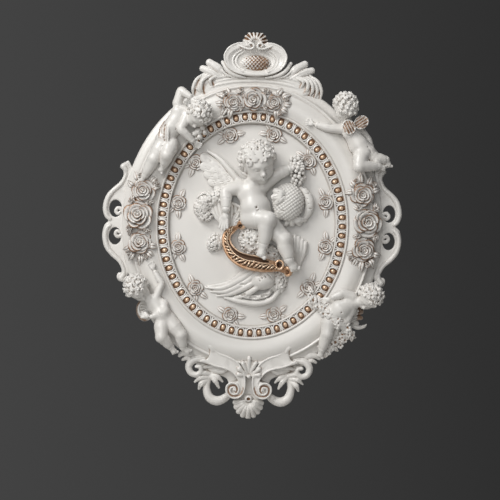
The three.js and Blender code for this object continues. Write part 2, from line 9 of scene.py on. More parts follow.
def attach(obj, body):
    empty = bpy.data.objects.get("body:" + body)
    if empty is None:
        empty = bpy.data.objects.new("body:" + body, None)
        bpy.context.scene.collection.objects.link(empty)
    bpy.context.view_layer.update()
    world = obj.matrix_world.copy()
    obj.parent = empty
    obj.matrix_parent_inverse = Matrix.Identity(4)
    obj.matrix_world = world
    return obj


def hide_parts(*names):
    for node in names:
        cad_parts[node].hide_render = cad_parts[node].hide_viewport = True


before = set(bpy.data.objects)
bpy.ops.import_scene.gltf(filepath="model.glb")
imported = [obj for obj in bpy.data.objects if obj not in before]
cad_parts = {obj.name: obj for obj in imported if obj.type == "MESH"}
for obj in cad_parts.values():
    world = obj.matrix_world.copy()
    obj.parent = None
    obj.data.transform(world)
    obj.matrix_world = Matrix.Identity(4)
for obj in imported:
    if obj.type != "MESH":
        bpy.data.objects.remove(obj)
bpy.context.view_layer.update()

# everything is drawn in millimetres facing the viewer: x right, y up, z out of the wall
oval = {
    "fieldHalfWidth": 130, "fieldHalfHeight": 158, "fieldTop": 12, "panelTop": 26,
    "outerOffset": 74, "stepsAround": 420,
}
outerX = oval["fieldHalfWidth"] + oval["outerOffset"]
outerY = oval["fieldHalfHeight"] + oval["outerOffset"]

# moulding from the field outwards: (distance outside the field rim, height over the wall)
moulding = [
    (-0.8, 12.0), (-0.4, 14.2), (0.5, 19.4), (1.5, 21.0), (2.5, 20.0), (3.2, 17.7), (4.2, 17.0),
    (14.6, 17.0), (15.8, 17.8), (16.6, 21.4), (17.8, 23.5), (18.9, 23.2), (19.7, 21.8), (20.6, 21.3),
    (22.5, 22.1), (26.0, 23.6), (31.0, 25.2), (38.0, 26.0), (45.0, 25.0), (50.5, 22.6), (54.2, 20.2),
    (55.0, 20.5), (56.0, 21.5), (57.2, 21.9), (58.4, 21.2), (59.2, 19.2), (60.4, 17.7), (62.5, 15.8),
    (65.5, 14.3), (68.5, 13.6), (71.0, 13.0), (73.0, 11.4), (74.0, 8.6), (74.0, 4.0), (74.0, 0.0),
]
# how sheltered its hollows are, and the distances that are gilded
mouldingShade = {
    (-3, 12): 0.25, (-0.8, 12.0): 0.75, (-0.4, 14.2): 0.6, (3.2, 17.7): 0.6, (4.2, 17.0): 0.7,
    (14.6, 17.0): 0.7, (15.8, 17.8): 0.6, (19.7, 21.8): 0.4, (20.6, 21.3): 0.7, (54.2, 20.2): 0.6,
    (59.2, 19.2): 0.35, (60.4, 17.7): 0.45,
}
mouldingGilt = (3.2, 4.2, 14.6, 15.8)
castingBox = (-234.0, -302.0, 0.0), (234.0, 298.0, 67.6)
shadeHighlightAndGilt = {
    # reach in millimetres and weight of the two readings of shelter for painted shade, where ridges start for a
    # painted highlight, fade of a gilt stroke
    "near": 1.3, "wide": 3.6, "nearWeight": 2.6, "wideWeight": 1.9, "ridgeBelow": 0.47, "ridgeGain": 5.0,
    "fade": 2.3,
}


def unit(v):
    v = np.asarray(v, float)
    return v / np.linalg.norm(v)


def onBand(degrees, offset):
    t = radians(degrees)
    a, b = oval["fieldHalfWidth"] + offset, oval["fieldHalfHeight"] + offset
    return a * cos(t), b * sin(t), atan2(sin(t) / b, cos(t) / a)


def bandOffset(x, y):
    # how far outside the field rim a point lies
    a, b = oval["fieldHalfWidth"], oval["fieldHalfHeight"]
    offset = (np.sqrt((x / a) ** 2 + (y / b) ** 2) - 1) * (a + b) / 2
    for _ in range(6):
        offset = np.maximum(offset, -120)
        p, q = a + offset, b + offset
        offset = offset + ((x / p) ** 2 + (y / q) ** 2 - 1) / (2 * (x * x / p**3 + y * y / q**3) + 1e-9)
    return offset


def bodyHeight(x, y):
    # front of the oval body, and far below the wall outside it
    places, heights = zip(*moulding[:-1])
    offset = bandOffset(x, y)
    return np.where(offset > oval["outerOffset"], -40.0, np.interp(offset, places, heights))


def splineSpot(knots, t):
    # Catmull-Rom point between the middle two of four knots
    a, b, c, d = knots
    return 0.5 * (2 * b + (c - a) * t + (2 * a - 5 * b + 4 * c - d) * t * t + (3 * b - a - 3 * c + d) * t**3)


def curveThrough(points, radii, detail):
    # smooth line through the points, with its radii
    points = np.asarray(points, float)
    radii = np.broadcast_to(np.asarray(radii, float), (len(points),))
    padded = np.vstack((2 * points[0] - points[1], points, 2 * points[-1] - points[-2]))
    line, size = [], []
    for i in range(len(points) - 1):
        for k in range(detail):
            t = k / detail
            line.append(splineSpot(padded[i:i + 4], t))
            size.append(radii[i] + (radii[i + 1] - radii[i]) * t)
    line.append(points[-1])
    size.append(radii[-1])
    return np.array(line), np.array(size)


def softened(values, reach):
    # box blur along the three axes
    for axis in range(3):
        margins = [(0, 0)] * 3
        margins[axis] = (reach + 1, reach)
        total = np.cumsum(np.pad(values, margins, mode="edge"), axis=axis, dtype=np.float64)
        count = values.shape[axis]
        ahead = np.take(total, range(2 * reach + 1, 2 * reach + 1 + count), axis=axis)
        behind = np.take(total, range(0, count), axis=axis)
        values = ((ahead - behind) / (2 * reach + 1)).astype(np.float32)
    return values


def sampled(values, places):
    # trilinear reading at grid places
    low = np.floor(places).astype(int)
    low = np.clip(low, 0, np.array(values.shape) - 2)
    part = places - low
    total = 0
    for i in (0, 1):
        for j in (0, 1):
            for k in (0, 1):
                weight = (np.abs(1 - i - part[:, 0]) * np.abs(1 - j - part[:, 1]) * np.abs(1 - k - part[:, 2]))
                total = total + weight * values[low[:, 0] + i, low[:, 1] + j, low[:, 2] + k]
    return total


def fillet(first, second, soft):
    # what fills the corner where two distances meet
    return np.clip(1 - np.abs(first - second) / soft, 0, None) ** 2 * soft / 4


def setMark(mesh, mark, values):
    mesh.attributes[mark].data.foreach_set("value", np.clip(values, 0, 1).astype(np.float32))


def makeMesh(name, points, faces, marks):
    # faces is a list of index arrays, each with its own corner count
    mesh = bpy.data.meshes.new(name)
    points = np.asarray(points, float)
    row = np.column_stack((points[:, 0], -points[:, 2], points[:, 1])) * 0.001
    faces = [np.asarray(f, np.int32) for f in faces if len(f)]
    corners = np.concatenate([f.ravel() for f in faces])
    totals = np.concatenate([np.full(len(f), f.shape[1]) for f in faces])
    mesh.vertices.add(len(row))
    mesh.vertices.foreach_set("co", row.ravel())
    mesh.loops.add(len(corners))
    mesh.loops.foreach_set("vertex_index", corners)
    mesh.polygons.add(len(totals))
    mesh.polygons.foreach_set("loop_start", np.concatenate(([0], np.cumsum(totals)[:-1])))
    mesh.polygons.foreach_set("loop_total", totals)
    mesh.polygons.foreach_set("use_smooth", np.ones(len(totals), bool))
    mesh.update(calc_edges=True)
    for mark, values in marks.items():
        mesh.attributes.new(mark, "FLOAT", "POINT")
        setMark(mesh, mark, values)
    return mesh


def makeObject(name, mesh, material=None):
    piece = bpy.data.objects.new(name, mesh)
    bpy.context.scene.collection.objects.link(piece)
    if material:
        mesh.materials.append(material)
    return piece


def placesOf(mesh):
    places = np.zeros(len(mesh.vertices) * 3, np.float32)
    mesh.vertices.foreach_get("co", places)
    return places.reshape(-1, 3)


def thinned(mesh, share):
    # fewer triangles where the surface is even, the same form and bounds
    name, full = mesh.name, placesOf(mesh)
    carrier = makeObject(name + "Full", mesh)
    modifier = carrier.modifiers.new("thin", "DECIMATE")
    modifier.ratio = share
    bpy.context.view_layer.update()
    shown = carrier.evaluated_get(bpy.context.evaluated_depsgraph_get())
    made = bpy.data.meshes.new_from_object(shown)
    bpy.data.objects.remove(carrier)
    bpy.data.meshes.remove(mesh)
    made.name = name
    made.vertices.foreach_set("co", np.clip(placesOf(made), full.min(0), full.max(0)).ravel())
    made.polygons.foreach_set("use_smooth", np.ones(len(made.polygons), bool))
    return made


class Clay:
    # a block of soft clay on a grid, holding the distance outside its surface in millimetres
    def __init__(self, low, high, step):
        self.low, self.step = np.array(low, float), step
        count = np.ceil((np.array(high, float) - self.low) / step).astype(int) + 1
        self.field = np.full(count, 30.0, np.float32)
        self.ground = None
        self.rest()

    def stand(self, turn, place, scale):
        self.turn, self.place, self.scale = turn, np.asarray(place, float), scale

    def rest(self):
        self.turn, self.place, self.scale = None, np.zeros(3), 1.0

    def cells(self, points, reach):
        # the part of the grid near some points, and its coordinates where the modelling stands
        world = np.atleast_2d(points) * self.scale
        if self.turn is not None:
            world = world @ self.turn.T
        world = world + self.place
        reach = reach * self.scale + 2 * self.step
        low = np.floor((world.min(0) - reach - self.low) / self.step).astype(int)
        high = np.ceil((world.max(0) + reach - self.low) / self.step).astype(int) + 1
        low, high = np.maximum(low, 0), np.minimum(high, self.field.shape)
        if (high - low < 1).any():
            return None, None
        axes = [(self.low[i] + self.step * np.arange(low[i], high[i]) - self.place[i]) / self.scale
            for i in range(3)]
        x, y, z = (axis.astype(np.float32) for axis in np.ix_(*axes))
        if self.turn is not None:
            t = self.turn.astype(np.float32)
            x, y, z = (x * t[0, i] + y * t[1, i] + z * t[2, i] for i in range(3))
        return tuple(slice(a, b) for a, b in zip(low, high)), (x, y, z)

    def press(self, where, distance, blend=0.0, cut=False):
        old, new = self.field[where], distance * self.scale
        if cut:
            new = -new
        filled = fillet(old, new, blend * self.scale) if blend else 0
        self.field[where] = np.maximum(old, new) + filled if cut else np.minimum(old, new) - filled

    def ball(self, centre, radii, blend=0.0, cut=False, axes=None):
        radii = np.broadcast_to(np.asarray(radii, float), (3,))
        where, at = self.cells([centre], radii.max() + blend)
        if where is None:
            return
        p = [at[i] - centre[i] for i in range(3)]
        if axes is not None:
            p = [p[0] * a[0] + p[1] * a[1] + p[2] * a[2] for a in axes]
        near = np.sqrt(sum((p[i] / radii[i]) ** 2 for i in range(3)))
        slope = np.sqrt(sum((p[i] / radii[i] ** 2) ** 2 for i in range(3))) + 1e-6
        self.press(where, near * (near - 1) / slope, blend, cut)

    def path(self, points, radii, blend=0.0, cut=False, detail=3, flat=1.0):
        # a stroke along a smooth line, flattened towards the wall where flat is under 1
        line, size = curveThrough(points, radii, detail)
        reach = float(size.max()) * max(1.0, 1 / flat) + blend
        where, _ = self.cells(line, reach)
        if where is None:
            return
        whole = np.full([s.stop - s.start for s in where], 60.0, np.float32)
        for i in range(len(line) - 1):
            a, b = line[i], line[i + 1]
            part, at = self.cells([a, b], max(size[i], size[i + 1]) + blend)
            if part is None:
                continue
            d = b - a
            p = [at[k] - a[k] for k in range(3)]
            t = np.clip((p[0] * d[0] + p[1] * d[1] + p[2] * d[2]) / max(d @ d, 1e-9), 0, 1)
            q = [p[k] - t * d[k] for k in range(3)]
            here = np.sqrt(q[0] ** 2 + q[1] ** 2 + (q[2] / flat) ** 2) - (size[i] + (size[i + 1] - size[i]) * t)
            inside = tuple(slice(s.start - w.start, s.stop - w.start) for s, w in zip(part, where))
            whole[inside] = np.minimum(whole[inside], here * min(flat, 1.0))
        self.press(where, whole, blend, cut)

    def ring(self, centre, axis, radius, width, blend):
        # a thin crease pressed around a limb
        where, at = self.cells([centre], radius + width + blend)
        if where is None:
            return
        axis = unit(axis)
        p = [at[i] - centre[i] for i in range(3)]
        along = p[0] * axis[0] + p[1] * axis[1] + p[2] * axis[2]
        across = np.sqrt(np.maximum(p[0] ** 2 + p[1] ** 2 + p[2] ** 2 - along**2, 0))
        self.press(where, np.sqrt((across - radius) ** 2 + along**2) - width, blend, True)

    def plate(self, outline, thickness, low=0.0, edge=2.0, blend=0.0, smooth=6):
        # a flat piece inside a smooth closed outline, with a rounded front edge
        loop = np.asarray(outline, float)
        loop = np.vstack((loop[-1], loop, loop[0], loop[1]))
        line = np.array([splineSpot(loop[i:i + 4], k / smooth) for i in range(len(outline))
            for k in range(smooth)])
        ends = np.column_stack((line, np.full(len(line), low)))
        tops = np.column_stack((line, np.full(len(line), low + thickness)))
        where, (x, y, z) = self.cells(np.vstack((ends, tops)), edge + blend)
        flatX, flatY = (np.broadcast_to(g, (x.shape[0], y.shape[1], 1))[..., 0] for g in (x, y))
        away = np.full(flatX.shape, 1e6)
        inside = np.zeros(flatX.shape, bool)
        for (ax, ay), (bx, by) in zip(line, np.roll(line, -1, 0)):
            dx, dy = bx - ax, by - ay
            t = np.clip(((flatX - ax) * dx + (flatY - ay) * dy) / (dx * dx + dy * dy + 1e-9), 0, 1)
            away = np.minimum(away, (flatX - ax - t * dx) ** 2 + (flatY - ay - t * dy) ** 2)
            crosses = (ay > flatY) != (by > flatY)
            inside ^= crosses & (flatX < dx * (flatY - ay) / (dy if abs(dy) > 1e-9 else 1e-9) + ax)
        side = (np.sqrt(away) * np.where(inside, -1, 1))[..., None] + edge
        front = np.abs(z - (low + thickness / 2)) - thickness / 2 + edge
        distance = (np.minimum(np.maximum(side, front), 0)
            + np.sqrt(np.maximum(side, 0) ** 2 + np.maximum(front, 0) ** 2) - edge)
        self.press(where, distance, blend)

    def settle(self, blend=2.5, skirt=3.0, sink=0.25):
        # trimmed to the box of the casting, the clay flows onto the oval body and stops a little under its surface
        x, y, z = (self.low[i] + self.step * np.arange(self.field.shape[i]) for i in range(3))
        for place, low, high in zip(np.ix_(x, y, z), *castingBox):
            self.field = np.maximum(self.field, np.maximum(low - place, place - high))
        self.field = self.field.astype(np.float32)
        ground = bodyHeight(x[:, None], y[None, :]).astype(np.float32)[..., None]
        self.ground = (z - ground).astype(np.float32)
        slab = np.maximum(self.ground + sink, self.field - skirt)
        self.field = np.minimum(self.field, slab) - fillet(self.field, slab, blend)
        self.field = np.maximum(self.field, -self.ground - skirt)

    def model(self, name, gildings=(), fine=0.0, shades=(), share=0.41):
        # the surface as a mesh, with how sheltered each point is (for painted shade), how gilded, and how ridged
        # (for a painted highlight)
        z = self.low[2] + self.step * np.arange(self.field.shape[2])
        self.field = np.maximum(self.field, (-z)[None, None, :]).astype(np.float32)
        for axis in range(3):
            edge = [slice(None)] * 3
            for end in (0, -1):
                edge[axis] = end
                self.field[tuple(edge)] = np.maximum(self.field[tuple(edge)], self.step)
        grid = openvdb.FloatGrid()
        grid.copyFromArray(np.clip(self.field, -3 * self.step, 3 * self.step))
        points, tris, quads = grid.convertToPolygons(isovalue=0.0, adaptivity=fine)
        solid = np.clip(0.5 - self.field / self.step, 0, 1)
        if self.ground is not None:
            solid = np.maximum(solid, np.clip(0.5 - self.ground / self.step, 0, 1))
        near = sampled(softened(solid, max(1, round(shadeHighlightAndGilt["near"] / self.step))), points)
        wide = sampled(softened(solid, max(2, round(shadeHighlightAndGilt["wide"] / self.step))), points)
        # shelter darkens the hollows in the finishes: painted shade
        shelter = np.clip((near - 0.5) * shadeHighlightAndGilt["nearWeight"] + (wide - 0.5) * shadeHighlightAndGilt["wideWeight"], 0, 1)
        place = points * self.step + self.low
        corner = place[quads[:, :3]] if len(quads) else place[tris]
        volume = np.einsum("ij,ij->i", corner[:, 0], np.cross(corner[:, 1], corner[:, 2])).sum()
        if volume < 0:
            tris, quads = tris[:, ::-1], quads[:, ::-1]
        gilt = np.zeros(len(place))
        for mark, strokes in ((gilt, gildings), (shelter, shades)):
            for spots, radius, amount in strokes:
                line, size = curveThrough(spots, radius, 4)
                for centre, reach in zip(line, size):
                    close = np.flatnonzero(np.abs(place - centre).max(1) < reach)
                    away = np.linalg.norm(place[close] - centre, axis=1)
                    faded = amount * np.clip(shadeHighlightAndGilt["fade"] - shadeHighlightAndGilt["fade"] * away / reach, 0, 1)
                    mark[close] = np.maximum(mark[close], faded)
        # ridge lightens the edges in the finishes: painted highlight
        ridge = np.clip((shadeHighlightAndGilt["ridgeBelow"] - near) * shadeHighlightAndGilt["ridgeGain"], 0, 1)
        mesh = makeMesh(name, place, [quads, tris], {"recess": shelter, "gilt": gilt, "ridge": ridge})
        if share < 1:
            mesh = thinned(mesh, share)
        print(f"  {name}: {sum(face.loop_total - 2 for face in mesh.polygons)} triangles")
        return mesh


class Wire:
    # one socket of a shader tree that can be reckoned with
    def __init__(self, tree, socket):
        self.tree, self.socket = tree, socket

    def maths(self, operation, other, turned=False):
        first, second = (other, self) if turned else (self, other)
        return self.tree.node("ShaderNodeMath", {"operation": operation}, {0: first, 1: second})

    def __add__(self, other):
        return self.maths("ADD", other)

    def __mul__(self, other):
        return self.maths("MULTIPLY", other)

    def __sub__(self, other):
        return self.maths("SUBTRACT", other)

    def __rsub__(self, other):
        return self.maths("SUBTRACT", other, True)

    __radd__ = __add__
    __rmul__ = __mul__

    def kept(self):
        return self.tree.node("ShaderNodeClamp", {}, {"Value": self})


class Finish:
    # a material under construction
    def __init__(self, name):
        self.material = bpy.data.materials.new(name)
        self.material.use_nodes = True
        self.nodes, self.links = self.material.node_tree.nodes, self.material.node_tree.links
        self.shader = self.nodes["Principled BSDF"]

    def node(self, kind, settings, inputs, output=0):
        made = self.nodes.new(kind)
        for key, value in settings.items():
            setattr(made, key, value)
        for key, value in inputs.items():
            self.feed(made.inputs[key], value)
        return Wire(self, made.outputs[output])

    def feed(self, socket, value):
        if isinstance(value, Wire):
            self.links.new(value.socket, socket)
        else:
            socket.default_value = value

    def mixed(self, share, first, second):
        made = self.nodes.new("ShaderNodeMix")
        made.data_type = "RGBA"
        for key, value in ((0, share), (6, first), (7, second)):
            self.feed(made.inputs[key], value)
        return Wire(self, made.outputs[2])

    def mark(self, name):
        return self.node("ShaderNodeAttribute", {"attribute_name": name}, {}, 2)

    def where(self):
        return self.node("ShaderNodeTexCoord", {}, {}, 3)

    def noise(self, scale, detail=3.0, rough=0.55):
        return self.node("ShaderNodeTexNoise", {}, {
            "Vector": self.where(), "Scale": scale, "Detail": detail, "Roughness": rough})

    def finish(self, **sockets):
        for name, value in sockets.items():
            self.feed(self.shader.inputs[name.replace("_", " ")], value)
        return self.material


ivory = {
    # whiter paint for the painted highlight on ridges, and the colour of the painted shade in hollows
    "paint": (0.76, 0.735, 0.7, 1), "cool": (0.69, 0.68, 0.655, 1), "paintedHighlight": (0.87, 0.855, 0.83, 1),
    "shade": (0.17, 0.118, 0.072, 1), "gold": (0.125, 0.056, 0.024, 1), "goldLight": (0.36, 0.205, 0.11, 1),
    "roughness": 0.34, "coat": 0.25,
}


def ivoryFinish():
    # warm white paint, darkened in the hollows by painted shade mixed with grime, lightened on the ridges by a
    # painted highlight, and rubbed with brown gold where it is marked
    f = Finish("rubbedIvory")
    recess, gilt, ridge = f.mark("recess"), f.mark("gilt"), f.mark("ridge")
    cloud = f.noise(9.0, 4.0)
    grit = f.noise(160.0, 3.0)
    paint = f.mixed((cloud * 1.6 - 0.45).kept(), ivory["paint"], ivory["cool"])
    # painted highlight: whiter paint on the ridges
    paint = f.mixed(ridge * 0.6, paint, ivory["paintedHighlight"])
    # painted shade in the hollows, with grit noise for grime
    shadeAndGrime = (recess * 1.2 - 0.15 + (grit - 0.5) * 0.35).kept()
    shadedGrimyPaint = f.mixed(shadeAndGrime * (shadeAndGrime * 0.58 + 0.24), paint, ivory["shade"])
    rubbed = (gilt * (1.0 + recess * 0.8) - 0.13 - ridge * 0.25 + (f.noise(260.0, 3.0) - 0.5) * gilt
        * 1.2).kept()
    gold = f.mixed((f.noise(90.0, 2.0) * 1.7 - 0.35).kept(), ivory["gold"], ivory["goldLight"])
    colour = f.mixed(rubbed, shadedGrimyPaint, gold)
    bump = f.node("ShaderNodeBump", {},
        {"Strength": 0.25, "Distance": 0.0006, "Height": f.noise(55.0, 4.0) * 0.8 + grit * 0.35})
    return f.finish(Base_Color=colour, Roughness=(ivory["roughness"] + shadeAndGrime * 0.2 + (cloud - 0.5) * 0.12),
        Metallic=rubbed * 0.3, Coat_Weight=ivory["coat"], Coat_Roughness=0.22, Normal=bump)


# leaf colour, lighter colour for the painted highlight on ridges, darker colour for the painted shade in grooves
copper = {
    "boat": {"leaf": (0.52, 0.295, 0.165, 1), "bright": (1.0, 0.8, 0.6, 1), "dark": (0.06, 0.027, 0.013, 1)},
    "bead": {"leaf": (0.56, 0.325, 0.185, 1), "bright": (1.0, 0.78, 0.58, 1), "dark": (0.12, 0.056, 0.027, 1)},
}


def copperFinish(name):
    # copper-gold leaf, with a painted highlight on the ridges and painted shade in the grooves
    f = Finish(name + "Leaf")
    tone = copper[name]
    recess, ridge = f.mark("recess"), f.mark("ridge")
    patch = f.noise(70.0, 3.0)
    # painted highlight on the ridges
    leaf = f.mixed((patch * 1.1 - 0.55 + ridge * 1.15).kept(), tone["leaf"], tone["bright"])
    # painted shade in the grooves and hollows
    dark = (recess * 1.9 - 0.25 + (f.noise(260.0, 2.0) - 0.5) * 0.3).kept()
    colour = f.mixed(dark * 0.93, leaf, tone["dark"])
    bump = f.node("ShaderNodeBump", {}, {"Strength": 0.3, "Distance": 0.0005, "Height": f.noise(190.0, 3.0)})
    return f.finish(Base_Color=colour, Metallic=0.45, Roughness=(0.26 + dark * 0.35 + (patch - 0.5) * 0.16),
        Normal=bump)


rubbedIvory, boatLeaf, beadLeaf = ivoryFinish(), copperFinish("boat"), copperFinish("bead")
print("finishes ready")

pieces = []


def keep(name, mesh, material=None):
    pieces.append(makeObject(name, mesh, material))


def bodyMesh():
    around = oval["stepsAround"]
    t = np.radians(np.linspace(0, 360, around, endpoint=False))
    fieldRings = [(-k, oval["fieldTop"]) for k in (110, 80, 55, 38, 26, 16, 8, 3)]
    backRings = [(k, 0.0) for k in (40, 0, -50, -100)]
    rings = fieldRings + moulding + backRings
    points = []
    for offset, height in rings:
        a, b = oval["fieldHalfWidth"] + offset, oval["fieldHalfHeight"] + offset
        points.append(np.column_stack((a * np.cos(t), b * np.sin(t), np.full(around, float(height)))))
    points = np.vstack(points + [[[0, 0, oval["fieldTop"]]], [[0, 0, 0]]])
    here = np.arange(around)
    after = (here + 1) % around
    quads, recess, gilt = [], np.zeros(len(points)), np.zeros(len(points))
    for k, ring in enumerate(rings):
        low, high = k * around, (k + 1) * around
        recess[low:high] = mouldingShade.get(ring, 0.05)
        gilt[low:high] = 0.85 * (ring[0] in mouldingGilt)
        if k < len(rings) - 1:
            quads.append(np.column_stack((low + here, high + here, high + after, low + after)))
    last = (len(rings) - 1) * around
    tris = [np.column_stack((np.full(around, len(points) - 2), here, after)),
        np.column_stack((np.full(around, len(points) - 1), last + after, last + here))]
    return makeMesh("ovalBody", points, [np.vstack(quads), np.vstack(tris)], {"recess": recess, "gilt": gilt})


keep("ovalBody", bodyMesh(), rubbedIvory)
print("oval body")


def nodeTree(name, sockets):
    tree = bpy.data.node_groups.new(name, "GeometryNodeTree")
    tree.interface.new_socket("Geometry", in_out="INPUT", socket_type="NodeSocketGeometry")
    for title, kind, value in sockets:
        made = tree.interface.new_socket(title, in_out="INPUT", socket_type=f"NodeSocket{kind}")
        if value is not None:
            made.default_value = value
    tree.interface.new_socket("Geometry", in_out="OUTPUT", socket_type="NodeSocketGeometry")
    return tree


def place(tree, kind, settings=None, **inputs):
    made = tree.nodes.new(kind)
    for key, value in (settings or {}).items():
        setattr(made, key, value)
    for key, value in inputs.items():
        socket = made.inputs[key.replace("_", " ")]
        if isinstance(value, bpy.types.NodeSocket):
            tree.links.new(value, socket)
        else:
            socket.default_value = value
    return made


def ended(tree, geometry, finish):
    # a tree's last two nodes
    painted = place(tree, "GeometryNodeSetMaterial", Geometry=geometry, Material=finish)
    tree.links.new(painted.outputs[0], place(tree, "NodeGroupOutput").inputs[0])
    return tree


def baked(name, tree, values):
    # runs a tree on an empty mesh and keeps its result as a plain object
    carrier = makeObject(name + "Carrier", bpy.data.meshes.new(name + "Carrier"))
    modifier = carrier.modifiers.new("setOut", "NODES")
    modifier.node_group = tree
    for item in tree.interface.items_tree:
        if item.in_out == "INPUT" and item.name in values:
            modifier[item.identifier] = values[item.name]
    bpy.context.view_layer.update()
    shown = carrier.evaluated_get(bpy.context.evaluated_depsgraph_get())
    mesh = bpy.data.meshes.new_from_object(shown)
    mesh.name = name
    carrier.modifiers.remove(modifier)
    bpy.data.objects.remove(carrier)
    mesh.polygons.foreach_set("use_smooth", np.ones(len(mesh.polygons), bool))
    return mesh


def ovalRowTree():
    # copies of one ornament at even steps round an oval, each turned to face outwards
    tree = nodeTree("ovalRow", [("Ornament", "Object", None), ("Half Width", "Float", 0.14),
        ("Half Height", "Float", 0.17), ("Count", "Int", 12), ("Phase", "Float", 0.0),
        ("Finish", "Material", None)])
    given = place(tree, "NodeGroupInput")
    circle = place(tree, "GeometryNodeCurvePrimitiveCircle", {"mode": "RADIUS"}, Resolution=720, Radius=1.0)
    size = place(tree, "ShaderNodeCombineXYZ", X=given.outputs["Half Width"], Y=given.outputs["Half Height"],
        Z=1.0)
    turned = place(tree, "GeometryNodeTransform", Geometry=circle.outputs[0])
    tree.links.new(place(tree, "ShaderNodeCombineXYZ", Z=given.outputs["Phase"]).outputs[0],
        turned.inputs["Rotation"])
    stretched = place(tree, "GeometryNodeTransform", Geometry=turned.outputs[0], Scale=size.outputs[0])
    points = place(tree, "GeometryNodeCurveToPoints", {"mode": "COUNT"}, Curve=stretched.outputs[0],
        Count=given.outputs["Count"])
    ornament = place(tree, "GeometryNodeObjectInfo", {"transform_space": "ORIGINAL"},
        Object=given.outputs["Ornament"])
    placed = place(tree, "GeometryNodeInstanceOnPoints", Points=points.outputs[0],
        Instance=ornament.outputs["Geometry"])
    across = place(tree, "FunctionNodeAlignRotationToVector", {"axis": "X"}, Vector=points.outputs["Tangent"])
    tree.links.new(across.outputs[0], placed.inputs["Rotation"])
    whole = place(tree, "GeometryNodeRealizeInstances", Geometry=placed.outputs[0])
    upright = place(tree, "GeometryNodeTransform", Geometry=whole.outputs[0], Rotation=(pi / 2, 0.0, 0.0))
    return ended(tree, upright.outputs[0], given.outputs["Finish"])


def flatObject(name, mesh):
    # an ornament lying in the xy plane of its own object, as the trees expect it
    mesh.transform(Matrix.Rotation(-pi / 2, 4, "X"))
    return makeObject(name, mesh)


beads = {"count": 68, "offset": 9.75, "halfLength": 4.7, "halfWidth": 4.0, "rise": 6.0, "floor": 17.0}


def beadMeshes():
    # egg and the cup that holds it, with a dart between cups; x runs along the row
    egg = Clay((-6, -7, -1.5), (6, 7, 8), 0.42)
    egg.ball((0, 0.3, 0), (beads["halfWidth"], beads["halfLength"], beads["rise"]))
    cup = Clay((-8.2, -7.4, -1.5), (8.2, 7.4, 7), 0.5)
    rim = [(-4.2, -5.9, 1.2), (-5.4, -2.5, 2.4), (-5.3, 2.2, 2.8), (-3.4, 5.6, 2.8), (0, 6.5, 2.8),
        (3.4, 5.6, 2.8), (5.3, 2.2, 2.8), (5.4, -2.5, 2.4), (4.2, -5.9, 1.2)]
    cup.path(rim, [0.8, 0.95, 1.05, 1.0, 1.0, 1.0, 1.05, 0.95, 0.8], detail=4)
    for flip in (-1, 1):
        cup.path([(7.15 * flip, 6.0, 1.2), (7.15 * flip, 0, 2.0), (7.15 * flip, -6.4, 1.4)], [1.3, 1.0, 1.0],
            0.4)
    eggMesh = egg.model("egg", fine=0.02, share=0.24)
    height = -placesOf(eggMesh)[:, 1].astype(float) * 1000 / beads["rise"]
    # painted shade towards the foot of each egg, painted highlight on its top
    setMark(eggMesh, "recess", 1.15 - height * 1.35)
    setMark(eggMesh, "ridge", height * 1.8 - 1.1)
    return eggMesh, cup.model("cup",
        [([(0, -6, 0), (0, 6, 0)], 5.6, 0.9), ([(6.3, -6, 0), (6.3, 6, 0)], 2.4, 0.8),
        ([(-6.3, -6, 0), (-6.3, 6, 0)], 2.4, 0.8)], 0.02, share=0.22)


rowTree = ovalRowTree()


def ovalRow(name, ornament, count, offset, phase, material, height):
    mesh = baked(name, rowTree, {
        "Ornament": ornament, "Half Width": (oval["fieldHalfWidth"] + offset) * 0.001,
        "Half Height": (oval["fieldHalfHeight"] + offset) * 0.001, "Count": count, "Phase": phase,
        "Finish": material})
    mesh.transform(Matrix.Translation((0, -height * 0.001, 0)))
    keep(name, mesh)
    bpy.data.objects.remove(ornament)


eggMesh, cupMesh = beadMeshes()
ovalRow("beadEggs", flatObject("egg", eggMesh), beads["count"], beads["offset"], 0.0, beadLeaf, beads["floor"])
ovalRow("beadCups", flatObject("cup", cupMesh), beads["count"], beads["offset"], 0.0, rubbedIvory,
    beads["floor"])
print("bead row")


def closedDisc(x, y, z, marks, skirt):
    # a rounded sheet over a polar grid, closed by a skirt underneath; ring 0 is the middle
    rings, around = x.shape
    points = [(x[0, 0], y[0, 0], z[0].mean())]
    points += list(zip(x[1:].ravel(), y[1:].ravel(), z[1:].ravel()))
    points += list(zip(x[-1] * 0.97 + x[0, 0] * 0.03, y[-1] * 0.97 + y[0, 0] * 0.03, np.full(around, -skirt)))
    points.append((x[0, 0], y[0, 0], -skirt))
    values = {}
    for mark, grid in marks.items():
        values[mark] = np.concatenate(([grid[0].mean()], grid[1:].ravel(), np.ones(around) * 0.4, [0.4]))
    here = np.arange(around)
    after = (here + 1) % around
    quads = [np.column_stack((1 + k * around + here, 1 + (k + 1) * around + here, 1 + (k + 1) * around + after,
        1 + k * around + after)) for k in range(rings - 1)]
    tris = [np.column_stack((np.zeros(around, int), 1 + here, 1 + after)),
        np.column_stack((np.full(around, len(points) - 1), 1 + (rings - 1) * around + after,
        1 + (rings - 1) * around + here))]
    return np.array(points, float), np.vstack(quads), np.vstack(tris), values


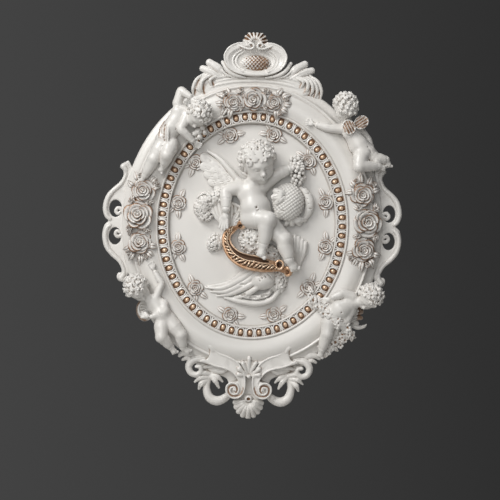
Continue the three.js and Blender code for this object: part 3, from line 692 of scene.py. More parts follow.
class Bunch:
    # loose parts gathered into one mesh
    def __init__(self):
        self.points, self.quads, self.tris = [], [], []
        self.marks = {"recess": [], "gilt": [], "ridge": []}
        self.count = 0

    def add(self, points, quads, tris, marks, matrix=None):
        points = np.asarray(points, float)
        if matrix is not None:
            m = np.array(matrix)
            points = points @ m[:3, :3].T + m[:3, 3]
        self.points.append(points)
        self.quads.append(np.asarray(quads) + self.count)
        self.tris.append(np.asarray(tris) + self.count)
        for mark in self.marks:
            self.marks[mark].append(marks[mark] if mark in marks else np.zeros(len(points)))
        self.count += len(points)

    def mesh(self, name):
        marks = {mark: np.concatenate(values) for mark, values in self.marks.items()}
        faces = [np.vstack(self.quads), np.vstack(self.tris)]
        print(f"  {name}: {len(faces[0]) * 2 + len(faces[1])} triangles")
        return makeMesh(name, np.vstack(self.points), faces, marks)


def addSheet(bunch, px, py, pz, depth, gilt, recess, ridge, matrix):
    # a thin curved sheet with an underside, closed all round
    px, py, pz, gilt, recess, ridge = np.broadcast_arrays(px, py, pz, gilt, recess, ridge)
    top = np.column_stack([g.ravel() for g in (px, py, pz)])
    bottom = top.copy()
    bottom[:, 2] -= np.broadcast_to(depth, px.shape).ravel()
    index = np.arange(px.size).reshape(px.shape)
    a, b, c, d = index[:-1, :-1], index[1:, :-1], index[1:, 1:], index[:-1, 1:]
    rim = np.concatenate((index[:, 0], index[-1, 1:], index[::-1, -1][1:], index[0, ::-1][1:-1]))
    after = np.roll(rim, -1)
    quads = [np.column_stack([g.ravel() for g in (a, b, c, d)]),
        np.column_stack([g.ravel() + px.size for g in (d, c, b, a)]),
        np.column_stack((after, rim, rim + px.size, after + px.size))]
    # the underside is fully sheltered: painted shade under the sheet
    marks = {"gilt": np.concatenate((gilt.ravel(), gilt.ravel())),
        "ridge": np.concatenate((ridge.ravel(), np.zeros(px.size))),
        "recess": np.concatenate((recess.ravel(), np.ones(px.size)))}
    bunch.add(np.vstack((top, bottom)), np.vstack(quads), np.empty((0, 3), int), marks, matrix)


roseLayers = {
    # rings of petals: how many, inner and outer reach, height of root and lip, half spread
    "full": ((5, 0.4, 1.0, 0.06, 0.44, 0.86), (4, 0.26, 0.76, 0.3, 0.68, 1.02),
             (3, 0.15, 0.52, 0.52, 0.88, 1.3), (2, 0.05, 0.3, 0.7, 1.0, 1.75)),
    "plain": ((5, 0.36, 1.0, 0.06, 0.52, 0.82), (4, 0.2, 0.68, 0.4, 0.8, 1.0),
              (3, 0.07, 0.38, 0.66, 1.0, 1.25)),
    "bud": ((4, 0.25, 1.0, 0.05, 0.6, 0.95), (3, 0.06, 0.56, 0.4, 1.0, 1.25)),
}


def addRose(bunch, x, y, base, radius, rise, turn, seed, lean=(0.0, 0.0), gold=1.0, layers="full"):
    # open rose: rings of cupped petals with rolled lips round a rolled heart
    pick = np.random.default_rng(seed)
    matrix = (Matrix.Translation((x, y, base)) @ Matrix.Rotation(lean[0], 4, "X") @ Matrix.Rotation(lean[1], 4,
        "Y") @ Matrix.Rotation(turn, 4, "Z"))
    u = np.array([0, 0.25, 0.45, 0.62, 0.75, 0.87, 1.0])[:, None]
    v = np.linspace(-1, 1, 9)[None, :]
    climb = np.array([0, 0.22, 0.58, 0.84, 0.97, 1.0, 0.93])[:, None]
    leafGold = np.array([1.3, 1.1, 0.5, 0.05, 0.3, 1.1, 1.3])[:, None]
    # painted shade towards each petal's root, painted highlight on its open face
    hollow = np.array([1.0, 0.7, 0.25, 0.1, 0.05, 0.1, 0.2])[:, None]
    paintedHighlight = np.array([0, 0, 0.2, 0.9, 0.8, 0, 0])[:, None]
    for count, inner, outer, root, lip, spread in roseLayers[layers]:
        phase = pick.uniform(0, 2 * pi)
        for k in range(count):
            wave, reach = pick.uniform(0, 6), outer * pick.uniform(0.88, 1.04)
            rim = reach * (1 - 0.24 * np.abs(v) ** 2.4 + 0.03 * np.cos(5 * v + wave))
            r = (inner + (rim - inner) * u) * radius
            angle = phase + k * 2 * pi / count + v * spread * (0.8 + 0.2 * u)
            h = (root + (lip - root) * climb) * rise * pick.uniform(0.95, 1.05) + 0.13 * rise * v * u
            rubbed = gold * np.clip(0.66 + 0.5 * np.cos(2.5 * v + wave), 0, 1)
            addSheet(bunch, r * np.cos(angle), r * np.sin(angle), h, np.where(u < 0.5, 2.4, 0.9) + 0 * v,
                leafGold * rubbed, hollow + 0 * v, paintedHighlight + 0 * v, matrix)
    theta = np.linspace(0, 2 * np.pi, 24, endpoint=False)[None, :]
    # rolled heart, and the core that the petals stand on, both marked for painted shade in the folds and under the
    # petals
    share = np.array([0.0, 0.3, 0.55, 0.8, 1.0])[:, None]
    spiral = np.cos(theta - share * 8)
    fold = np.clip(-spiral, 0, 1)
    heart = share * 0.17 * radius * np.cos(theta), share * 0.17 * radius * np.sin(theta)
    bunch.add(*closedDisc(*heart, rise * (0.98 - 0.35 * share**2 + 0.06 * spiral * share),
        {"gilt": fold * 0.7 * gold, "recess": fold * 0.8}, 2.0), matrix)
    share = np.array([0.0, 0.5, 0.8, 1.0])[:, None]
    even = 0 * theta * share
    core = share * 0.86 * radius * np.cos(theta), share * 0.86 * radius * np.sin(theta)
    bunch.add(*closedDisc(*core, rise * (0.55 - 0.5 * share**1.5) + 0 * theta,
        {"gilt": 0.5 * gold + even, "recess": 0.75 + even}, 2.5), matrix)


def addLeaf(bunch, x, y, base, length, width, rise, turn, droop=0.25, gold=1.0, twist=0.0):
    # pointed leaf with a sunk midrib and a notched gilt edge
    u = np.linspace(0, 1, 19)[:, None]
    v = np.array([-1, -0.82, -0.5, -0.2, 0, 0.2, 0.5, 0.82, 1])[None, :]
    half = width / 2 * np.sin(np.pi * np.clip(u, 0, 1) ** 0.78) ** 0.8 * (
        0.93 + 0.12 * np.abs(np.sin(u * np.pi * 4)))
    half = half + 0.1
    arch = rise * np.sin(np.pi * u**0.8) * (1 - 0.4 * v * v)
    fold = -0.32 * rise * np.exp(-(v / 0.16) ** 2) * np.sin(np.pi * u)
    pz = arch + fold - droop * rise * u * u + 0.12 * rise * np.abs(v) ** 4
    gilt = np.maximum(np.abs(v) ** 6 * 1.1, np.exp(-(v / 0.14) ** 2)) * gold
    # painted shade along the sunk midrib and at the root
    recess = np.maximum(np.exp(-(v / 0.16) ** 2) * 0.8, np.where(u < 0.12, 0.8, 0.0)) + 0 * v
    matrix = Matrix.Translation((x, y, base)) @ Matrix.Rotation(turn, 4, "Z") @ Matrix.Rotation(twist, 4, "X")
    # painted highlight over the face of the leaf
    addSheet(bunch, u * length + v * 0, half * v, pz, 1.6, gilt + 0 * u, recess,
        0.8 * (np.abs(v) < 0.7) + 0 * u, matrix)


fieldRose = {"count": 12, "radius": 12.8, "rise": 6.6, "inset": 12, "leafLength": 16, "leafWidth": 8.5}


def fieldRoseMesh():
    # one rose with three leaves; x runs along the rim of the field
    bunch = Bunch()
    addRose(bunch, 0, 0, 0, fieldRose["radius"], fieldRose["rise"], 0.4, 11, (0, 0), 1.15, "plain")
    for flip, tilt in ((0, 0.3), (pi, -0.25)):
        addLeaf(bunch, 9 * cos(flip), 1.0, 0.6, fieldRose["leafLength"], fieldRose["leafWidth"], 2.6,
            flip + tilt, 0.25, 1.1)
    addLeaf(bunch, 7, -6, 0.4, 13, 7.5, 2.4, -0.55, 0.25, 1.1)
    return bunch.mesh("fieldRose")


ovalRow("fieldRoses", flatObject("rose", fieldRoseMesh()), fieldRose["count"], -fieldRose["inset"], pi / 12,
    rubbedIvory, oval["fieldTop"])

clusters = {
    "topRoses": {"angles": (101.5, 90.5, 79.5), "offset": 35, "step": 2, "large": 21.0, "small": 16.0},
    "leftRoses": {"angles": (166, 177, -171), "offset": 45, "step": 1, "large": 24.0, "small": 20.0},
    "rightRoses": {"angles": (-10, 2, 14), "offset": 46, "step": 2, "large": 24.0, "small": 20.0},
    "rise": 0.68,
}


def roseCluster(name, seed):
    rule = clusters[name]
    bunch = Bunch()
    pick = np.random.default_rng(seed)
    base = oval["panelTop"] - 3.5
    middle = onBand(rule["angles"][1], rule["offset"])
    for index, angle in enumerate(rule["angles"]):
        large = index == 1
        x, y, outward = onBand(angle, rule["offset"] + (rule["step"] if large else 0))
        radius = rule["large"] if large else rule["small"]
        addRose(bunch, x, y, base, radius, radius * clusters["rise"], outward + index, seed + index,
            (pick.uniform(-0.16, 0.16), pick.uniform(-0.16, 0.16)), 0.9)
        if large:
            # small blossoms and leaves in the gaps beside the large rose
            for side in (-1, 1):
                for way, reach in ((0.52, radius + 1.5), (-0.58, radius + 1.5)):
                    turn = outward + (pi / 2) * side + way
                    bx, by = x + cos(turn) * reach, y + sin(turn) * reach
                    addRose(bunch, bx, by, base + 2, 5.6, 8, turn, seed + 9 + side, (0, 0), 1.0, "bud")
                    addLeaf(bunch, bx - cos(turn) * 3, by - sin(turn) * 3, base + 1, 14, 7, 7,
                        turn + 0.5 * side, 0.6, 1.0)
            continue
        along = atan2(y - middle[1], x - middle[0])  # away from the large rose
        for spread, length, start in ((-1.25, 15, 0.72), (-0.62, 17, 0.82), (0.0, 19, 0.86), (0.62, 17, 0.82),
                (1.25, 15, 0.72)):
            turn = along + spread
            addLeaf(bunch, x + cos(turn) * radius * start, y + sin(turn) * radius * start, base + 1, length, 9,
                7.5, turn + pick.uniform(-0.25, 0.25), 0.55, 0.9, pick.uniform(-0.3, 0.3))
        for spread in (-0.9, 0.35):
            turn = along + spread
            addRose(bunch, x + cos(turn) * radius * 1.18, y + sin(turn) * radius * 1.18, base + 2, 4.8, 8, turn,
                seed + 5, (0, 0), 1.0, "bud")
    return bunch.mesh(name)


for clusterSeed, clusterName in ((21, "topRoses"), (33, "leftRoses"), (47, "rightRoses")):
    keep(clusterName, roseCluster(clusterName, clusterSeed), rubbedIvory)
print("roses")

bracketRule = {
    "reach": 30, "thickness": 8.9, "bar": 10.4, "holeRise": 21.5, "holeHalfWidth": 9.9, "holeHalfHeight": 13.4,
}


def bracketMesh():
    reach = outerX + bracketRule["reach"]
    wide, high = bracketRule["holeHalfWidth"], bracketRule["holeHalfHeight"]
    clay = Clay((168, -97, -1.5), (237, 99, 20), 0.8)
    outline = [
        (outerX - 12, 92), (outerX - 4, 94.5), (outerX + 3, 90), (outerX + 4, 85), (outerX - 1, 82.5),
        (outerX - 3, 74), (outerX + 4, 64), (outerX + 17, 51), (reach - 3, 36), (reach, 22), (reach - 3, 9),
        (outerX + 21, 2.5), (reach - 3, -5), (reach, -18), (reach - 2, -30), (reach - 8, -42),
        (outerX + 14, -51), (outerX + 4, -59), (outerX - 1, -68), (outerX - 2, -77), (outerX + 4, -79),
        (outerX + 6, -85), (outerX + 3, -91.5), (outerX - 3, -92), (outerX - 10, -84), (outerX - 30, -40),
        (outerX - 30, 40),
    ]
    clay.plate(outline, bracketRule["thickness"], low=0.6, edge=3)
    for side in (1, -1):
        # raised scroll along the outer edge, curled at both ends
        top = [(outerX - 6, side * 76, 9), (outerX + 1, side * 61, 9), (outerX + 13, side * 50, 9),
            (reach - 8, side * 38, 9), (reach - 4.5, side * 22, 9), (reach - 7, side * 10, 9),
            (reach - 12, side * 5, 9)]
        clay.path(top, [2.6, 3.4, 3.9, 4.2, 4.2, 3.8, 3.0], 0.7)
        hook = [(outerX - 5, side * 74, 8), (outerX - 4.5, side * 82, 9), (outerX - 1, side * 87, 10),
            (outerX - 5, side * 90, 9), (outerX - 9.5, side * 86, 8)]
        clay.path(hook, [3.2, 3.8, 4.2, 3.6, 2.6], 0.7)
        clay.path([(outerX - 20, side * 78, 8), (outerX - 11, side * 60, 9.5), (outerX - 8, side * 34, 9.5),
            (outerX - 10, side * 12, 8)], [2.5, 3.2, 3.2, 2.2], 1.0)
    for side in (1, -1):
        # opening
        x, y = reach - bracketRule["bar"] - wide, side * bracketRule["holeRise"]
        where, at = clay.cells([(x, y, 0), (x, y, 20)], 16)
        reachHole = np.sqrt(((at[0] - x) / wide) ** 2 + ((at[1] - y) / high) ** 2)
        clay.press(where, np.broadcast_to((reachHole - 1) * 10, [s.stop - s.start for s in where]), 1.5, True)
        # inner curl that grows from the inner edge of the opening
        curl = [(x - 12, y - side * 14, 6), (x - 12.5, y - side * 7, 7), (x - 9, y - side * 0.8, 7.5),
            (x - 3.4, y + side * 0.6, 8), (x - 0.6, y - side * 4.2, 8.5), (x - 3.6, y - side * 8.2, 9),
            (x - 7.2, y - side * 5.6, 9.5)]
        clay.path(curl, [4.0, 3.7, 3.2, 2.9, 2.8, 2.6, 2.2], 0.4, detail=5)
        for k in range(4):
            # flutes on the leaf that wraps the scroll
            start = (outerX + 2 + 6 * k, side * (68 - 7.5 * k), 13.4)
            clay.path([start, (start[0] - 5, start[1] - side * 6, 13),
                (start[0] - 8, start[1] - side * 13, 11.5)], [0.5, 0.9, 0.4], 0.6, True)
    return clay.model("bracket", [], 0.01)


def mirroredMesh(mesh, name):
    flipped = mesh.copy()
    flipped.name = name
    flipped.transform(Matrix.Scale(-1, 4, (1, 0, 0)))
    flipped.flip_normals()
    return flipped


rightBracket = bracketMesh()
keep("rightBracket", rightBracket, rubbedIvory)
keep("leftBracket", mirroredMesh(rightBracket, "leftBracket"))
print("brackets")


crestRule = {
    "shellRibs": 8, "shellRadius": 21.0, "lattice": 5.7, "dish": (47.2, 23.6, 14.5), "cushion": (23.4, 11.8, 9),
}


def shellFan(clay, root, radius, ribs, start, end, low, high, blend, taper, gold=None, peak=0.14):
    # cupped fan of round ribs that end in a scalloped edge
    for k in range(ribs):
        share = (k + 0.5) / ribs
        angle = radians(start + (end - start) * share)
        bow = 1 - peak * abs(2 * share - 1) ** 0.8
        step = radians(abs(end - start)) / ribs
        tip = (root[0] + cos(angle) * radius * bow * 0.93, root[1] + sin(angle) * radius * bow * 0.93)
        mid = (root[0] + cos(angle) * radius * bow * 0.5, root[1] + sin(angle) * radius * bow * 0.5)
        wide = radius * step * 0.44
        clay.path([(root[0] + cos(angle) * radius * taper, root[1] + sin(angle) * radius * taper, high - 2),
            (mid[0], mid[1], high), (tip[0], tip[1], low)], [wide * 0.32, wide * 0.72, wide], blend, detail=4)
        if gold is not None:
            edge = radians(start + (end - start) * k / ribs)
            groove = [(root[0] + cos(edge) * radius * share, root[1] + sin(edge) * radius * share, z)
                for share, z in ((0.35, high), (0.62, high - 0.6), (0.9, low + 0.5))]
            clay.path(groove, [0.6, 1.0, 1.5], 0.3, True)
            gold.append((groove, [2.2, 3.0, 3.8], 1.25))


def lobedLeaf(clay, root, tips, width, top):
    # broad leaf whose lobes fan out from its root, with grooves between them
    root = np.asarray(root, float)
    tips = [np.asarray(t, float) for t in tips]
    outline = [root] + [root + (t - root) * 0.85 for t in tips]
    clay.plate(outline, top - 2.5, edge=2.0, blend=1.0, smooth=4)
    for t in tips:
        way = t - root
        rows = [root + way * 0.12, root + way * 0.55, root + way * 0.96]
        clay.path([(*rows[0], top - 2.5), (*rows[1], top - 1), (*rows[2], top - 3)],
            [width * 0.5, width, width * 0.8], 0.5, flat=0.6)
    for first, second in zip(tips, tips[1:]):
        way = (first + second) / 2 - root
        rows = [root + way * 0.15, root + way * 0.55, root + way * 0.98]
        clay.path([(*rows[0], top + 0.2), (*rows[1], top + 1.0), (*rows[2], top - 1)], [0.5, 1.0, 1.4], 0.5,
            True)


def sided(rows, flip, level, span=1.0):
    # places given from the middle line and a level, on one side of the plaque
    return [(flip * x * span, level + y, z) for x, y, z in rows]


def crestMesh():
    clay = Clay((-114, 190, -1.6), (114, 299.5, 34), 0.76)
    gold = []
    path, ball = clay.path, clay.ball
    base = [(0, -32), (60, -34), (96, -22), (90, -9), (79, 2), (50, 7), (0, 8), (-50, 7), (-79, 2), (-90, -9),
        (-96, -22), (-60, -34)]
    clay.plate([(x, outerY + y) for x, y in base], 17, edge=4)
    for flip in (1, -1):
        # stepped mouldings that sweep over the shoulder of the oval
        for rise, thick in ((-3, 2.6), (-9.0, 1.6), (-14.5, 2.2)):
            path(sided([(0, 6, 16.5), (30, 4.5, 16.5), (58, -1, 16), (80, -10, 14.5)], flip, outerY + rise),
                thick, 0.6)
    half = [(9, 49), (19, 51), (30, 49), (42, 42.5), (48.5, 32), (49.3, 26), (45.5, 15), (36, 5.5), (19, -0.3)]
    loop = [(0, 46)] + half + [(0, -1.8)] + [(-x, y) for x, y in reversed(half)]
    clay.plate([(x, outerY + y) for x, y in loop], 25, edge=2.2, blend=1)
    dish, cushion = crestRule["dish"], crestRule["cushion"]
    ball((0, outerY + 24, 31), dish, 0.8, True)
    for flip in (1, -1):
        # thin rim, and the strand that sweeps in under the shell and rolls up
        side = [(0, 0.0, 23), (19, 1.2, 23.5), (35, 6.6, 24), (44.5, 15.5, 24.5), (48, 26, 24.5),
            (47, 33, 24.5), (41, 42, 24.5), (30, 47.8, 24.5), (19, 49.6, 24)]
        rows = sided(side, flip, outerY)
        path(rows, 1.5, 0.4, detail=4)
        for share in (slice(0, 5), slice(4, 8)):
            gold.append(([(x * 0.955, outerY + 24 + (y - outerY - 24) * 0.93, z - 2)
                for x, y, z in rows[share]], 1.9, 0.85))
        strand = [(38, 44.6, 22), (30, 46.4, 23.5), (22, 43.6, 25), (14, 40.6, 26), (7.4, 39.8, 26.5),
            (3.2, 42.4, 27), (3.6, 47.0, 27.5), (8.0, 48.6, 27.5), (11.2, 45.8, 27), (8.6, 43.6, 26.5)]
        rows = sided(strand, flip, outerY)
        path(rows, [0.8, 1.3, 1.6, 1.8, 1.9, 1.9, 1.8, 1.7, 1.5, 1.2], 0.3, detail=4)
        gold.append(([(x, y - 2.1, z - 0.6) for x, y, z in rows[1:5]], 1.7, 0.9))
        gold.append(([(flip * 7.2, outerY + 45.6, 25), (flip * 7.6, outerY + 45.4, 25)], 2.8, 1.0))
        for reach in (30.0, 35.0):
            arc = []
            for a in np.radians(np.linspace(-56, 52, 11)):
                # creases that follow the inside of the dish
                x, y = reach * cos(a), 19.5 * reach / 33 * sin(a)
                depth = sqrt(max(0.02, 1 - (x / dish[0]) ** 2 - ((y - 2) / dish[1]) ** 2))
                arc.append((flip * x, outerY + 22 + y, 31 - dish[2] * depth))
            path(arc, 1.3, 0.7)
    # cushion, latticed with crossing cords
    cx, cy = 0.5, outerY + 19.5
    ball((cx, cy, 17), cushion, 0.4)
    for way in (1, -1):
        for k in range(-7, 8):
            start = np.array([cx + k * crestRule["lattice"] - way * 13, cy - 13])
            stop = np.array([cx + k * crestRule["lattice"] + way * 13, cy + 13])
            cord = []
            for t in np.linspace(0, 1, 11):
                x, y = start + (stop - start) * t
                inside = 1 - ((x - cx) / cushion[0]) ** 2 - ((y - cy) / cushion[1]) ** 2
                if inside > 0.03:
                    cord.append((x, y, 17 + cushion[2] * sqrt(inside)))
            if len(cord) > 1:
                path(cord, 1.0, 0.2, detail=2)
            if len(cord) > 2:
                half = crestRule["lattice"] / 2
                between = [(x + half, y, z - 0.3) for x, y, z in cord
                    if ((x + half - cx) / 23) ** 2 + ((y - cy) / 11.5) ** 2 < 1]
                if len(between) > 1:
                    gold.append((between, 2.3, 1.0))
    # shell
    root = (-0.8, outerY + 48.5)
    ball((root[0], root[1] + 6.5, 16), (17.5, 13.5, 7), 1)
    shellFan(clay, root, crestRule["shellRadius"], crestRule["shellRibs"], 8, 172, 19, 25, 0.5, 0.2, gold)
    for flip in (1, -1):
        # leaf of two broad lobes on each flank, and the strap beside the dish
        span = 1.0 if flip > 0 else 0.93

        def at(rows):
            return sided(rows, flip, outerY, span)

        for rows, size in (([(46, -5, 12), (62, 10, 15), (77, 19.5, 13)], [4, 7, 5.8]),
                ([(46, -8, 12), (68, 3, 15), (88, 10, 12)], [4, 7, 5.4])):
            path(at(rows), size, 0.8, flat=0.75, detail=4)
        for rows, size in (([(50, -2, 17.5), (63, 11.5, 21), (75, 19.5, 18)], [0.5, 1.0, 0.6]),
                ([(52, -4, 18), (68, 7.5, 19), (82, 15.5, 16)], [0.6, 1.5, 1.6]),
                ([(54, -7, 17.5), (70, 2.5, 20.5), (86, 9, 17)], [0.5, 1.0, 0.6])):
            path(at(rows), size, 0.6, True)
        path(at([(16, -3.4, 19), (34, 0, 20), (47, 7.6, 20), (55, 20, 17)]), [1.4, 3.0, 3.4, 2.8], 0.5,
            flat=0.9)
        path(at([(30, -5, 17.5), (46, -0.5, 18.5), (56, 8, 18), (59.5, 16, 15)]), [1.0, 1.8, 1.8, 1.0], 0.5)
        # acanthus curl of crescent ridges rolling over the oval
        clay.plate([(flip * x * span, outerY + y)
            for x, y in ((58, 2), (84, 2), (97, -8), (104, -24), (98, -34), (84, -26), (66, -16))], 14.5,
            edge=3, blend=1, smooth=4)
        curls = [[(58, 0, 15), (74.5, -8, 20), (71.5, -18, 16)], [(64, 1, 15), (80.5, -8, 20.5), (82, -18, 19),
            (78.5, -24, 16)], [(70, 1.5, 14), (86.5, -8.5, 20), (90, -20, 18.5), (86.5, -28, 15)],
            [(77, 2, 14), (92, -8.5, 19), (97, -21, 17.5), (94, -31, 14)],
            [(84, 2.5, 13), (97.5, -7.5, 17), (103.5, -21.5, 15.5), (102.5, -33.5, 12)]]
        for k, rows in enumerate(curls if flip > 0 else curls[::2]):
            rows = at(rows)
            path(rows, [1.8] + [2.9] * (len(rows) - 2) + [1.5], 0.4, detail=5)
            gold.append(([(x - flip * 2.9, y - 2.0, z - 0.8) for x, y, z in rows[1:]], 2.4, 0.7 if flip > 0
                else 1.2))
    clay.settle(2.0)
    return clay.model("crest", gold, 0.008)


keep("crest", crestMesh(), rubbedIvory)
print("crest")

pendantRule = {
    "footRibs": 9, "footRadius": 31, "footPeak": 0.3,
    # fronds of the palmette: direction in degrees and reach
    "palmette": ((10, 19), (36, 22.5), (64, 26), (116, 26), (144, 22.5), (170, 19), (90, 32)),
}


def pendantMesh():
    clay = Clay((-112, -303.5, -1.6), (112, -184, 32), 0.78)
    gold = []
    path, ball = clay.path, clay.ball
    low = -outerY
    half = [(88, 30), (86, 16), (68, 0), (46, -4), (34, -10), (30, -24), (22, -37)]
    loop = [(0, 34)] + half + [(0, -44)] + [(-x, y) for x, y in reversed(half)]
    clay.plate([(x, low + y) for x, y in loop], 10, edge=2.5)
    for flip in (1, -1):

        def at(rows):
            return sided(rows, flip, low)

        # broad band between two raised edges, rolling into a volute
        outer = [(61, 41), (47, 31), (34, 26.5), (20.6, 19.5), (11.3, 8), (6.5, -6), (6.2, -19), (9.2, -30),
            (17, -36.5), (27, -36), (34, -28.5), (34, -19), (27, -13.5), (19, -15.5), (15.2, -22.5),
            (17.8, -29.6), (24.6, -31), (29, -26), (26.8, -20.6), (21.6, -20.6), (20.2, -25)]
        inner = [(68, 18), (54, 12.5), (40, 9.5), (28, 5), (20, -2.4), (14.5, -11.5), (12.8, -18)]
        shape = [(61, 41), (47, 31), (34, 26.5), (20.6, 19.5), (11.3, 8), (6.5, -6), (6.2, -19), (9.2, -30),
            (17, -36.5), (27, -36), (34, -28.5), (34, -19), (27, -13.5), (18, -11), (20, -2.4), (28, 5),
            (40, 9.5), (54, 12.5), (70, 18.5), (64, 24), (62, 31)]
        clay.plate([(flip * x, low + y) for x, y in shape], 23.5, edge=2.2, blend=0.6, smooth=4)
        path(at([(60, 27, 38), (47, 21, 38), (34, 17, 38), (21, 9, 38), (13, -2, 36)]),
            [14, 14, 13.6, 13, 12.6], 0.8, True, detail=4)
        heights = [22, 22.5, 23, *[23.5] * 9, 24, 24.3, 24.6, 25, 25.3, 25.6, 26, 26.3, 26.6]
        path(at([(x, y, z) for (x, y), z in zip(outer, heights)]), [1.2] + [1.5] * 14 + [1.4] * 6, 0.3,
            detail=5)
        path(at([(x, y, 23) for x, y in inner]), [1.1, 1.4, 1.5, 1.5, 1.5, 1.3, 1.0], 0.3, detail=5)
        ball(at([(22.8, -23.5, 24.5)])[0], (2.4, 2.4, 2.8), 0.4)
        groove = [(8.6, -22), (11.6, -30), (18.4, -33.6), (26.6, -33), (31.2, -27.6), (31, -20.6), (26, -17.2),
            (20, -18.8), (18, -23.6), (19.8, -28)]
        path(at([(x, y, 24.6) for x, y in groove]), [0.6, 1.0, 1.2, 1.2, 1.2, 1.2, 1.1, 1.0, 0.9, 0.7], 0.3,
            True, detail=4)
        gold.append((at([(x, y, 24) for x, y in groove]), 1.9, 1.0))
        gold.append((at([(x, y - 2.2, 22) for x, y in inner[:6]]), 2.0, 0.8))
        gold.append((at([(62, 38, 23), (63, 30, 23), (70, 20, 22)]), 2.2, 0.7))
        path(at([(57, 36, 22), (61, 42, 23), (66, 45.5, 22)]), [3.6, 3.4, 1.6], 0.6, flat=0.8)
        path(at([(63, 17, 21), (71, 19.5, 22), (76, 18, 20)]), [3.4, 3.2, 1.4], 0.6, flat=0.8)
        # curl below the band
        path(at([(61, 6, 9), (52, 4, 12), (43, 2.5, 13.5), (36.5, 6, 14), (38, 11, 14), (43, 9.5, 15)]),
            [3.6, 4.4, 4.2, 3.2, 2.6, 1.8], 0.8)
        path(at([(70, 8, 10), (60, 10, 13), (48, 8, 14), (40, 7, 15)]), [2.8, 3, 2.6, 1.6], 0.8)
        # limb that swings out and up, wrapped in leaves
        limb = [(27, -29, 8), (37, -39, 9.5), (50, -43.5, 10.5), (61.5, -37.5, 10.5), (66, -22, 10),
            (62, -7, 9.5), (54, 3, 9)]
        path(at(limb), [4.5, 6.4, 7.4, 7.0, 5.8, 5.0, 4.2], 1.0, flat=0.95, detail=4)
        path(at([(40, -35, 15), (50, -37, 17.5), (58, -31, 17), (60, -20, 15.5)]), [0.5, 1.1, 1.1, 0.5], 0.8,
            True)
        path(at([(40, -44, 13.5), (51, -49, 13), (62, -44, 13.5)]), [0.4, 0.9, 0.4], 0.6, True)
        ball(at([(37.5, -37.5, 12)])[0], (5.2, 5.2, 5.4), 1.0)
        fronds = [((66, -12), (74, -17), (77.5, -25), 3.6), ((64, -7), (76, -8), (84, -14.5), 3.2),
            ((60, -4), (52, -12), (46.5, -22.5), 3.4), ((57, -3), (48, -6), (41, -13), 3.0),
            ((62, -2), (72, 0), (80.5, -3), 3.0)]
        for a, b, c, size in fronds:
            path(at([(a[0], a[1], 11.5), (b[0], b[1], 15), (c[0], c[1], 12)]), [4, size + 0.8, size * 0.55],
                0.8)
            path(at([(a[0], a[1], 16.5), (b[0], b[1], 19.2), (c[0], c[1], 14)]), [0.3, 0.8, 0.3], 0.6, True)
        # outer curl under the rim
        path(at([(58, 17, 9), (72, 21.5, 12), (86, 20, 13), (94, 11, 13.5), (91, 0.5, 14), (82, -3, 15),
            (75, 2, 16), (76, 9, 17), (82, 10, 18)]), [4, 5.4, 6, 5.6, 5, 4.6, 4, 3.4, 2.6], 0.9, detail=4)
        path(at([(72, 25, 15.5), (87, 24, 18), (98, 13, 18), (96, -1, 18)]), [0.4, 1.1, 1.1, 0.4], 0.7, True)
        path(at([(84, 24, 8), (94, 29.5, 11), (103, 30, 11), (109, 26, 10)]), [5, 5.4, 4.6, 3], 1.0, flat=0.9)
        path(at([(88, 21, 9), (97, 22.5, 11.5), (104, 19.5, 10)]), [4, 3.8, 2.2], 0.8)
        path(at([(84, 32, 9), (92, 37, 11), (100, 38, 10)]), [4, 3.6, 2], 0.8)
        gold.append((at([(75, 3, 17), (79, 9, 18), (85, 12, 16)]), 2.4, 0.4))
    # palmette between the bands
    root = (0, low - 3)
    ball((0, low + 12, 17), (13, 14, 7), 1)
    for angle, reach in pendantRule["palmette"]:
        a = radians(angle)
        way = (cos(a), sin(a))
        path([(root[0] + way[0] * reach * t, root[1] + way[1] * reach * t, z)
            for t, z in ((0.1, 20), (0.5, 23), (0.84, 24), (0.98, 22))], [1.4, 2.5, 3.4, 2.0], 0.4)
        path([(root[0] + way[0] * reach * t, root[1] + way[1] * reach * t, z)
            for t, z in ((0.3, 25), (0.6, 27.4), (0.85, 28.6))], [0.4, 0.9, 0.7], 0.4, True)
        gold.append(([(root[0] + way[0] * reach, root[1] + way[1] * reach, 24)] * 2, 2.8, 0.5))
    ball((0, low - 3, 24), (3.4, 3.4, 3.6), 0.4)
    gold.append(([(-1, low + 1.5, 25), (1, low + 1.5, 25)], 2.6, 0.8))
    # shell at the foot
    root = (0, low - 40)
    ball((0, low - 46, 7), (20, 15, 9), 1.2)
    shellFan(clay, root, pendantRule["footRadius"], pendantRule["footRibs"], -174, -6, 9, 17, 0.6, 0.1,
        peak=pendantRule["footPeak"])
    ball((0, low - 38, 17), (6.5, 5.5, 6), 0.8)
    ball((0, low - 38.5, 22), (2.8, 2.6, 4), 0.5, True)
    gold.append(([(0, low - 38.5, 19), (0.5, low - 38.5, 19)], 4.2, 1.0))
    clay.settle(1.5)
    return clay.model("pendant", gold, 0.008)


keep("pendant", pendantMesh(), rubbedIvory)
print("pendant")

girths = {
    "neck": 0.2, "shoulder": 0.2, "elbow": 0.158, "wrist": 0.118, "thigh": 0.285, "knee": 0.21, "ankle": 0.14,
}


def basisOf(face, crown):
    # axes of a head from where its face and its crown point
    forward = unit(face)
    right = unit(np.cross(crown, forward))
    return np.column_stack((right, np.cross(forward, right), forward))


